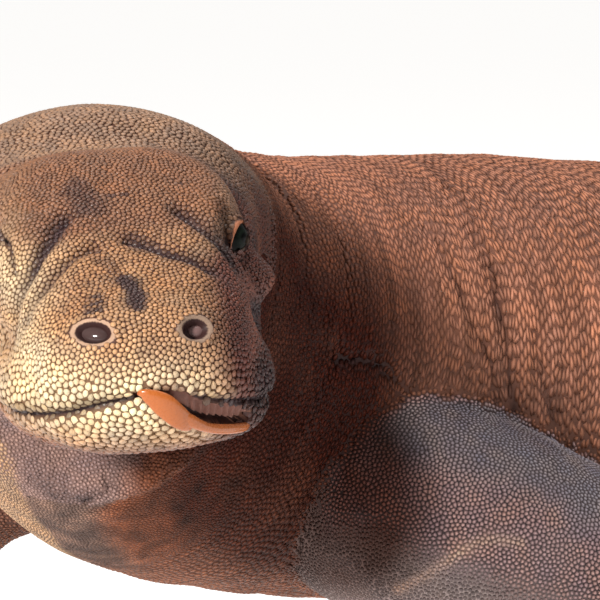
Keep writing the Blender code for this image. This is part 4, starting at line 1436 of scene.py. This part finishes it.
def scattered(triangles, spacing, rng):
    """Random places on the triangles, thinned so that no two lie nearer than 0.74 of their spacing."""
    a, b, c = triangles[:, 0], triangles[:, 1], triangles[:, 2]
    area = np.linalg.norm(np.cross(b - a, c - a), axis=1) / 2
    total = np.cumsum(area / spacing**2)
    count = int(total[-1] * 16)
    chosen = np.searchsorted(total, rng.random(count) * total[-1])
    u = np.sqrt(rng.random(count))[:, None]
    v = rng.random(count)[:, None]
    points = a[chosen] * (1 - u) + b[chosen] * u * (1 - v) + c[chosen] * u * v
    tree = tree_of(points)
    gone = bytearray(count)
    kept = []
    for i, (p, reach) in enumerate(zip(points.tolist(), (spacing[chosen] * 0.74).tolist())):
        if gone[i]:
            continue
        kept.append(i)
        for _, j, _ in tree.find_range(p, reach):
            gone[j] = 1
    return points[kept], chosen[kept]


def neighbours_of(points, count):
    """The nearest other points of each point, and their distances."""
    tree = tree_of(points)
    found = np.array([[(j, d) for _, j, d in tree.find_n(p, count + 1)[1:]] for p in points.tolist()])
    return found[:, :, 0].astype(int), found[:, :, 1]


def put_on(surface, points):
    """The nearest places on a surface, and the faces that they lie on."""
    hits = [surface.find_nearest(p) for p in points.tolist()]
    return np.array([hit[0] for hit in hits]), np.array([hit[2] for hit in hits])


def spread(points, faces_of, surface, spacing_of, rounds):
    """Pushes neighbours apart to their spacing and puts them back on the surface, several times."""
    for _ in range(rounds):
        near, far = neighbours_of(points, 7)
        want = spacing_of[faces_of][:, None]
        push = np.clip(1.05 * want - far, 0, None) / np.maximum(far, 1e-9)
        points = points + 0.30 * ((points[:, None] - points[near]) * push[:, :, None]).sum(axis=1)
        points, faces_of = put_on(surface, points)
    return points, faces_of


def scale_template(corners, domed):
    """Faces of one scale: floor, sloping sides and a low top that meets in the middle."""
    rim = list(range(corners))
    after = rim[1:] + rim[:1]
    faces = [rim[::-1]]
    if domed:
        faces += [[a, b, b + corners, a + corners] for a, b in zip(rim, after)]
        faces += [[a + corners, b + corners, 2 * corners] for a, b in zip(rim, after)]
        return faces, 2 * corners + 1
    faces += [[a, b, corners] for a, b in zip(rim, after)]
    return faces, corners + 1


def scale_shapes(seeds, normals, near, pitch, round_way, corners, domed, height, lean):
    """Points of every scale: cells of the seeds' own neighbourhoods, with a raised middle.

    All is measured with the long way shrunk by the ratio of the pitches. In a direction at angle f
    the cell ends at the least of d / (2 cos(f - g)) over the neighbours at distance d and angle g,
    which is half way to each of them. Each shoulder is tipped towards its own chance direction.
    """
    want = pitch[:, 0]
    longer = (pitch[:, 1] / pitch[:, 0])[:, None]
    over = unit(round_way - dot(round_way, normals)[:, None] * normals)
    side = np.cross(over, normals)
    offset = near - seeds[:, None]
    east = (offset * side[:, None]).sum(axis=2)
    north = (offset * over[:, None]).sum(axis=2) / longer
    far = np.maximum(np.hypot(east, north), 1e-6)
    turn = np.arctan2(north, east)
    first = turn[np.arange(len(far)), far.argmin(axis=1)][:, None]
    angles = first + math.pi / corners + 2 * math.pi * np.arange(corners)[None] / corners
    cosine = np.cos(angles[:, :, None] - turn[:, None, :])
    reach = np.where(cosine > 0.12, far[:, None, :] / (2 * np.maximum(cosine, 0.12)), 1e3).min(axis=2)
    reach = np.minimum(reach, 0.75 * want[:, None])
    along = (longer * np.sin(angles))[:, :, None] * over[:, None]
    ray = np.cos(angles)[:, :, None] * side[:, None] + along
    level = normals[:, None]
    rim = seeds[:, None] + reach[:, :, None] * ray - 0.10 * height[:, None, None] * level
    middle = (seeds + height[:, None] * normals)[:, None]
    flat = np.stack([np.cos(angles), np.sin(angles)], axis=2)
    if not domed:
        return np.concatenate([rim, middle], axis=1), np.concatenate([flat, flat[:, :1] * 0], axis=1)
    tipped = 0.62 + 0.34 * lean[:, 1:] * np.cos(angles - lean[:, :1])
    raised = (tipped * height[:, None])[:, :, None] * level
    shoulder = seeds[:, None] + 0.84 * reach[:, :, None] * ray + raised
    return (
        np.concatenate([rim, shoulder, middle], axis=1),
        np.concatenate([flat, 0.6 * flat, flat[:, :1] * 0], axis=1),
    )


def chart(place, limb):
    """Unwrap of the skin's own shape: along the spine and round it, with a strip for each leg."""
    s, x, h = place.T
    leg, down, _ = limb.T
    turn = np.arctan2(h, x) / (2 * math.pi) + 0.5
    number = np.clip(np.round(leg), 1, 4)
    on_leg = leg > 0.5
    u = np.where(on_leg, 0.02 + 0.24 * (number - 1) + 0.20 * down, 0.02 + 0.96 * s / TAIL_END)
    v = np.where(on_leg, 0.66 + 0.30 * turn, 0.02 + 0.58 * turn)
    return np.stack([u, v], axis=1)


def scales_mesh(name, points, flat, paint, charted, corners, domed):
    """Joined mesh of many scales, each a closed solid with its own patch of the OFBake map."""
    faces, each = scale_template(corners, domed)
    count = len(points)
    loops = np.concatenate([np.array(face) for face in faces])
    starts = np.concatenate([[0], np.cumsum([len(face) for face in faces])[:-1]])
    vertex = (loops[None] + each * np.arange(count)[:, None]).ravel().astype(np.int32)
    start = (starts[None] + len(loops) * np.arange(count)[:, None]).ravel().astype(np.int32)
    mesh = bpy.data.meshes.new(name)
    mesh.vertices.add(count * each)
    flattened = points.reshape(-1, 3)
    flattened[:, 2] = np.maximum(flattened[:, 2], 0.0002)
    mesh.vertices.foreach_set("co", flattened.astype(np.float32).ravel())
    mesh.loops.add(len(vertex))
    mesh.loops.foreach_set("vertex_index", vertex)
    mesh.polygons.add(len(start))
    mesh.polygons.foreach_set("loop_start", start)
    mesh.update(calc_edges=True)
    put(mesh, "paint", "FLOAT_COLOR", opaque(paint.reshape(-1, 3)))
    uv = (charted[:, None] + 0.0015 * flat).reshape(-1, 2)[vertex]
    mesh.uv_layers.new(name="OFBake").data.foreach_set("uv", uv.astype(np.float32).ravel())
    return mesh


class Hide:
    """The skin's triangles: where each lies, how far apart its scales are, and how they are laid."""

    def __init__(self, mesh):
        mesh.calc_loop_triangles()
        self.corners = read(mesh.loop_triangles, "vertices", kind=np.int32)
        self.points = points_of(mesh)
        self.normals = normals_of(mesh)
        self.place, self.limb, self.relief = facts_of(mesh)
        self.surface = BVHTree.FromPolygons(self.points.tolist(), self.corners.tolist())
        self.leg = self.limb[self.corners, 0].max(axis=1)
        down = self.limb[self.corners].mean(axis=1)[:, 1]
        place = self.place[self.corners].mean(axis=1)
        on_leg = self.leg > 0.5
        near_arm = (self.leg == 1) & (down < 0.97)
        spacing = np.where(on_leg, sizes().foot_scale, head_spacing(place))
        self.spacing = np.where(near_arm, sizes().arm_scale * (1 + 0.4 * fade(down, 0.42, 0.55)), spacing)
        in_opening = self.relief[self.corners][:, :, 1].max(axis=1) > 0.3
        on_sole = self.points[self.corners][:, :, 2].max(axis=1) < 0.0022
        self.bare = in_opening | on_sole
        self.strewn = (~on_leg & (place[:, 0] < BODY_START)) | (on_leg & (down > 0.97)) | near_arm

    def strewn_seeds(self, rng):
        """Scales in no order on the head, neck, left arm and feet: scattered, then spread evenly."""
        free = self.strewn & ~self.bare
        seeds, faces_of = scattered(self.points[self.corners], np.where(free, self.spacing, np.inf), rng)
        seeds, faces_of = spread(seeds, faces_of, self.surface, self.spacing, 6)
        keep = free[faces_of]
        seeds, faces_of = seeds[keep], faces_of[keep]
        return seeds, faces_of, np.repeat(self.spacing[faces_of][:, None], 2, axis=1)

    def laid_seeds(self, number, rows, pitches):
        """Scales in rows on the trunk and tail (number 0) or a leg, where the skin isn't bare or strewn."""
        at, face = put_on(self.surface, rows)
        moved = np.linalg.norm(at - rows, axis=1)
        fits = (self.leg[face] == number) | ((number == 0) & (moved < 0.0035))
        fits &= ~self.bare[face] & ~self.strewn[face] & (moved < 0.012)
        return at[fits], face[fits], pitches[fits]

    def all_seeds(self, spine, rng):
        """Places, faces, and pitches round and along the rows of all scales."""
        found = [self.strewn_seeds(rng), self.laid_seeds(0, *row_seeds(spine, rng))]
        steps = {"fore_right": 1.25 * sizes().arm_scale}
        for number, name in enumerate(LEGS, start=1):
            if name != "fore_left":
                step = steps.get(name, 0.85 * sizes().rear_scale)
                rows = limb_seeds(spine, name, step, rng)
                found.append(self.laid_seeds(number, rows, np.full((len(rows), 2), step)))
        seeds, faces_of, pitches = (np.concatenate(parts) for parts in zip(*found))
        keep = thinned(seeds, 0.62 * pitches[:, 0])
        return seeds[keep], faces_of[keep], pitches[keep]

    def at_seeds(self, seeds, faces_of):
        """The skin's normals, places, limbs and relief at the seeds."""
        corners = self.corners[faces_of]
        weights = barycentric(seeds, self.points[corners])[:, :, None]
        facts = (self.normals, self.place, self.limb, self.relief)
        normals, place, limb, relief = ((values[corners] * weights).sum(axis=1) for values in facts)
        limb[:, 0] = self.leg[faces_of]
        return unit(normals), place, limb, relief


def scale_paint(top, gap, leg, corners, domed):
    """Colours of each scale's points: its foot is nearer the gap's colour, and its middle is lightest, a
    painted highlight on the scale's top.
    """
    if domed:
        foot = mix(gap, top, np.full(len(top), 0.12))
        # painted highlight: the top's middle lighter than its shoulders
        return np.stack([foot] * corners + [top * 0.92] * corners + [top * 1.12], axis=1)
    foot = mix(gap, top, np.where(leg > 0.5, 0.30, 0.66))
    # painted highlight: the top's middle lighter
    return np.stack([foot] * corners + [top * 1.08], axis=1)


class KOMODO_OT_scales(bpy.types.Operator):
    """Solid scales over the whole skin, sized by region"""

    bl_idname = "komodo.scales"
    bl_label = "Scales"

    def execute(self, context):
        rng = np.random.default_rng(sizes().seed)
        spine = Spine()
        hide = Hide(bpy.data.objects["skin"].data)
        seeds, faces_of, pitches = hide.all_seeds(spine, rng)
        normals, place, limb, relief = hide.at_seeds(seeds, faces_of)
        near, _ = neighbours_of(seeds, 18)
        bend = dot(normals[:, None], normals[near[:, :8]]).min(axis=1)
        level = 0.25 + 0.75 * fade(bend, 0.55, 0.90)
        back = spine.at(place[:, 0])[1]
        round_way = np.cross(back, normals) + 0.25 * rng.standard_normal((len(seeds), 1)) * back
        top, gap = markings(seeds, normals, place, limb, relief)
        lean = np.column_stack([rng.random(len(seeds)) * 2 * math.pi, rng.random(len(seeds))])
        s = place[:, 0]
        leg, down, _ = limb.T
        top = top * (1 + np.where(s < BODY_START, 0.44, 0.22) * (rng.random(len(seeds)) - 0.5))[:, None]
        charted = chart(place, limb)
        head = (leg < 0.5) & (s < 0.30) & ((s < 0.20) | (place[:, 2] > -0.02))
        body = ~head & (((leg < 0.5) & (s < 0.80)) | (leg == 1) | ((leg == 2) & (down < 0.6)))
        members_of = {"head": head, "body": body, "rear": ~head & ~body}
        for group, (corners, domed, raised, slot, triangles) in GROUPS.items():
            finish = painted_material("head_keratin" if domed else "keratin")
            index = np.flatnonzero(members_of[group])
            index = index[np.argsort(s[index])]
            parts = math.ceil(len(index) * triangles / MOST_TRIANGLES)
            for part, m in enumerate(np.array_split(index, parts), start=1):
                points, flat = scale_shapes(
                    seeds[m], normals[m], seeds[near[m]], pitches[m], round_way[m], corners, domed,
                    raised * level[m] * pitches[m, 0], lean[m],
                )
                paint = scale_paint(top[m], gap[m], leg[m], corners, domed)
                name = f"scales_{group}_{part}"
                mesh = scales_mesh(name, points, flat, paint, charted[m], corners, domed)
                add_object(name, mesh, finish)
        return {"FINISHED"}


def barycentric(points, triangles):
    """Weights of the three corners at points that lie on their triangles."""
    a, b, c = triangles[:, 0], triangles[:, 1], triangles[:, 2]
    ab, ac, ap = b - a, c - a, points - a
    d00, d01, d11, d20, d21 = dot(ab, ab), dot(ab, ac), dot(ac, ac), dot(ap, ab), dot(ap, ac)
    bottom = np.maximum(d00 * d11 - d01 * d01, 1e-18)
    v = np.clip((d11 * d20 - d01 * d21) / bottom, 0, 1)
    w = np.clip((d00 * d21 - d01 * d20) / bottom, 0, 1)
    return np.stack([np.clip(1 - v - w, 0, 1), v, w], axis=1)


def ball_grid():
    """Angles from the pole that faces out, and round it, of a ball's points."""
    return np.linspace(0.012, math.pi - 0.012, 49), full_turn(64)


def eye_paint(away, turn):
    """Pupil, streaked ring and dark white by degrees away from the eye's middle."""
    grid = np.stack(np.broadcast_arrays(9 * np.cos(turn), 9 * np.sin(turn), 0.1 * away[:, None]), axis=-1)
    streak = 0.75 + 0.25 * value_noise(grid.reshape(-1, 3), 4)
    away = np.repeat(away, len(turn))
    iris = np.array(colours().iris) * streak[:, None] * (0.6 + 1.2 * fade(away, 30, 14))[:, None]
    paint = mix(iris, np.array(EYE_WHITE), fade(away, 29, 33))
    return mix(np.full(3, PUPIL), paint, fade(away, 11.0, 12.5))


class KOMODO_OT_eyes(bpy.types.Operator):
    """Two dark eyes with a brown ring and a round pupil: balls that swell a little over the pupil"""

    bl_idname = "komodo.eyes"
    bl_label = "Eyes"

    def execute(self, context):
        spine = Spine()
        angle, turn = ball_grid()
        away = np.degrees(angle)
        radius = EYE_RADIUS + 0.0006 * bell(away, 26, 4)
        for side, name in ((1, "eye_left"), (-1, "eye_right")):
            centre, gaze, rise, across = eye_frame(spine, side)
            ring = np.cos(turn)[:, None] * across + np.sin(turn)[:, None] * rise
            out = np.cos(angle)[:, None, None] * gaze + np.sin(angle)[:, None, None] * ring[None]
            rings = centre + radius[:, None, None] * out
            ball = add_piece(f"{name}_ball", [rings], "eye", eye_paint(away, turn))
            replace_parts(ball, name)
        return {"FINISHED"}


class KOMODO_OT_nostrils(bpy.types.Operator):
    """Wet lining of each nostril: a flat oval ball sunk behind the bare rim"""

    bl_idname = "komodo.nostrils"
    bl_label = "Nostrils"

    def execute(self, context):
        spine = Spine()
        angle, turn = ball_grid()
        # how far aside of the nostril the ball lies, over its length, and how light its lining is
        for name, (centre, long, tall, _, _, _) in zip(("right", "left"), NOSTRILS):
            aside, light = {"right": (0.05, 0.62), "left": (-0.66, 1.9)}[name]
            slope, level, steep = nostril_frame(centre)
            ring = long * np.cos(turn)[:, None] * level + tall * np.sin(turn)[:, None] * steep
            out = 2.6 * np.cos(angle)[:, None, None] * slope + 0.80 * np.sin(angle)[:, None, None] * ring
            local = (np.array(centre) - 3.6 * slope + aside * long * level + 0.7 * steep + out) * 0.001
            rings = spine.place(*local.reshape(-1, 3).T).reshape(local.shape)
            lining = np.array(colours().lining) * light
            add_piece(f"nostril_{name}", [rings], "wet_lining", lining)
        return {"FINISHED"}


def lip_place(spine, degrees, height, out):
    """Point at a distance out from the muzzle on the level ray from the mouth's centre, and the ray."""
    turn = np.radians(degrees)
    near = np.zeros_like(turn)
    far = np.full_like(turn, 0.09)
    for _ in range(30):
        reach = (near + far) / 2
        s = MOUTH_CENTRE - reach * np.cos(turn)
        outside = section_value(np.stack([s, reach * np.sin(turn), height], axis=1)) > 0
        far = np.where(outside, reach, far)
        near = np.where(outside, near, reach)
    centre, back, left, up = (v[0] for v in spine.at(MOUTH_CENTRE))
    ray = np.sin(turn)[:, None] * left - np.cos(turn)[:, None] * back
    return centre + (near + out)[:, None] * ray + height[:, None] * up, ray


def ribbon_rings(spine, table, count, around):
    """Oval rings along the lips, thin along the rays and tall square to them, with rounded ends."""
    t = np.linspace(0, 1, count)
    dense = table[0][0] + (table[-1][0] - table[0][0]) * (0.5 - 0.5 * np.cos(math.pi * t))
    height, out, wide, thick = (smooth_curve(dense, table, k) * 0.001 for k in range(1, 5))
    centres, rays = lip_place(spine, dense, height, out)
    tall = unit(np.cross(unit(np.gradient(centres, axis=0)), rays))
    close = np.sqrt(np.clip(1 - np.abs(2 * t - 1) ** 6, 0, 1)) * 0.98 + 0.02
    return oval_rings(centres, wide * close, thick * close, tall[:, None], rays[:, None], around)


class KOMODO_OT_tongue(bpy.types.Operator):
    """Tongue that lies out of the left of the mouth, with one tine along the lower lip"""

    bl_idname = "komodo.tongue"
    bl_label = "Tongue"

    def execute(self, context):
        spine = Spine()
        shells = [ribbon_rings(spine, TONGUE, 48, 28), ribbon_rings(spine, TINE, 56, 22)]
        along = [np.repeat(np.linspace(0, 1, rings.shape[0]), rings.shape[1]) for rings in shells]
        tips = np.concatenate([fade(along[0], 0.14, 0.04), fade(along[1], 0.93, 0.99)])
        paint = mix(np.array(colours().tongue), np.array(colours().tongue_tip), tips)
        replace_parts(add_piece("tongue_soft", shells, "wet_flesh", paint), "tongue")
        return {"FINISHED"}


def claw_rings(along, root, toe_length):
    """Rings of a claw that rises ahead of its toe and hooks down, and how far ahead each is, 0 to 1."""
    t = np.concatenate([[-0.22], np.linspace(0, 0.985, 22)])
    line = toe_path(root, along, toe_length, 4)[0][-1] + (CLAW_LENGTH * t)[:, None] * along
    ahead = np.maximum(t, 0)
    line[:, 2] += 0.004 * np.sin(math.pi * ahead * 0.9) - 0.007 * ahead**2
    radius = 0.0064 * (1 - ahead) ** 0.8
    radius[0] = 0.0056
    rings = tube_rings(line, radius, 20, upright=True)
    across = np.cross(along, (0, 0, 1))
    rings = rings - 0.22 * ((rings - line[:, None]) * across).sum(axis=2, keepdims=True) * across
    rings[:, :, 2] = np.maximum(rings[:, :, 2], 0.0003)
    return rings, ahead


class KOMODO_OT_claws(bpy.types.Operator):
    """Twenty curved claws, each sunk a little into its toe"""

    bl_idname = "komodo.claws"
    bl_label = "Claws"

    def execute(self, context):
        spine = Spine()
        for name in LEGS:
            kind, side = name.split("_")
            foot = {"fore": "hand", "hind": "foot"}[kind]
            for number, along, root, toe_length in foot_plan(spine, name)[5]:
                rings, ahead = claw_rings(along, root, toe_length)
                shade = np.repeat(1.6 - 1.0 * ahead, rings.shape[1])
                paint = np.array(colours().claw) * shade[:, None]
                claw = add_piece(f"horn_{foot}_{side}_{number}", [rings], "horn", paint)
                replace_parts(claw, f"claw_{foot}_{side}_{number}")
        return {"FINISHED"}


def add_aimed(name, data, place, direction):
    """Lamp or camera at a place that looks in a direction."""
    made = linked(name, data)
    made.location = place
    made.rotation_euler = Vector(direction).to_track_quat("-Z", "Y").to_euler()
    return made


def add_light(name, kind, place, target, size, power, tint=(1.0, 1.0, 1.0)):
    """Lamp that faces its target: size is an area lamp's width, or a sun's angle."""
    data = bpy.data.lights.new(name, kind)
    if kind == "SUN":
        data.angle = size
    else:
        data.shape = "DISK"
        data.size = size
    data.energy = power
    data.color = tint
    add_aimed(name, data, place, Vector(target) - Vector(place))


def add_floor():
    finish = new_material("floor", {
        "Base Color": (*colours().floor, 1.0), "Roughness": 0.9,
        "Emission Color": (1.0, 1.0, 1.0, 1.0), "Emission Strength": 0.32,
    })
    corners = [(x * FLOOR_HALF, y * FLOOR_HALF, 0) for x, y in ((-1, -1), (1, -1), (1, 1), (-1, 1))]
    mesh = new_mesh("floor", corners, [(0, 1, 2, 3)])
    mesh.materials.append(finish)
    floor = linked("floor", mesh)


def add_camera(scene, target):
    """Camera that looks past the target's side; returns its forward and right directions."""
    azimuth = math.radians(CAMERA_AZIMUTH)
    rise = math.radians(CAMERA_RISE)
    level = math.cos(rise)
    ahead = -np.array((level * math.sin(azimuth), -level * math.cos(azimuth), math.sin(rise)))
    right = unit(np.cross(ahead, (0.0, 0.0, 1.0)))
    data = bpy.data.cameras.new("camera")
    data.sensor_width = 36.0
    data.lens = CAMERA_LENS
    data.clip_end = 100.0
    place = target - ahead * CAMERA_DISTANCE + right * CAMERA_RIGHT + np.cross(right, ahead) * CAMERA_UP
    scene.camera = add_aimed("camera", data, place, ahead)
    return ahead, right


class KOMODO_OT_stage(bpy.types.Operator):
    """Plain pale floor, soft studio light and the camera in front of the animal's left"""

    bl_idname = "komodo.stage"
    bl_label = "Stage"

    def execute(self, context):
        scene = context.scene
        target = Spine().place(*CAMERA_TARGET)[0]
        add_floor()
        ahead, right = add_camera(scene, target)
        swing, rise = math.radians(KEY_SWING), math.radians(KEY_RISE)
        towards = math.cos(rise) * (-math.cos(swing) * unit(ahead * (1, 1, 0)) - math.sin(swing) * right)
        sun = target + 3 * (towards + (0, 0, math.sin(rise)))
        add_light("key", "SUN", sun, target, math.radians(KEY_SPREAD), KEY_STRENGTH, KEY_TINT)
        add_light("top", "AREA", TOP_PLACE, (*TOP_PLACE[:2], 0.0), TOP_WIDTH, TOP_POWER)
        world = bpy.data.worlds.new("studio")
        world.use_nodes = True
        background = world.node_tree.nodes["Background"]
        set_inputs(background, {"Color": (1.0, 1.0, 1.0, 1.0), "Strength": WORLD_STRENGTH})
        scene.world = world
        scene.view_settings.view_transform = "Standard"
        return {"FINISHED"}


STEPS = ("stage", "skin", "scales", "eyes", "nostrils", "tongue", "claws")


class KOMODO_PT_panel(bpy.types.Panel):
    """The komodo dragon's pieces and their settings"""

    bl_idname = "KOMODO_PT_panel"
    bl_label = "Komodo dragon"
    bl_space_type = "VIEW_3D"
    bl_region_type = "UI"
    bl_category = "Komodo"

    def draw(self, context):
        for step in STEPS:
            self.layout.operator(f"komodo.{step}")
        for group in (context.scene.komodo_sizes, context.scene.komodo_colours):
            for key in group.__annotations__:
                self.layout.prop(group, key)


CLASSES = (
    KomodoSizes, KomodoColours, KOMODO_OT_skin, KOMODO_OT_scales, KOMODO_OT_eyes, KOMODO_OT_nostrils,
    KOMODO_OT_tongue, KOMODO_OT_claws, KOMODO_OT_stage, KOMODO_PT_panel,
)


def register():
    for each in CLASSES:
        bpy.utils.register_class(each)
    bpy.types.Scene.komodo_sizes = bpy.props.PointerProperty(type=KomodoSizes)
    bpy.types.Scene.komodo_colours = bpy.props.PointerProperty(type=KomodoColours)


def unregister():
    del bpy.types.Scene.komodo_sizes
    del bpy.types.Scene.komodo_colours
    for each in reversed(CLASSES):
        bpy.utils.unregister_class(each)


def main():
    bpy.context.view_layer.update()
    register()
    for step in STEPS:
        getattr(bpy.ops.komodo, step)()
    bpy.context.view_layer.update()


if __name__ == "__main__":
    main()
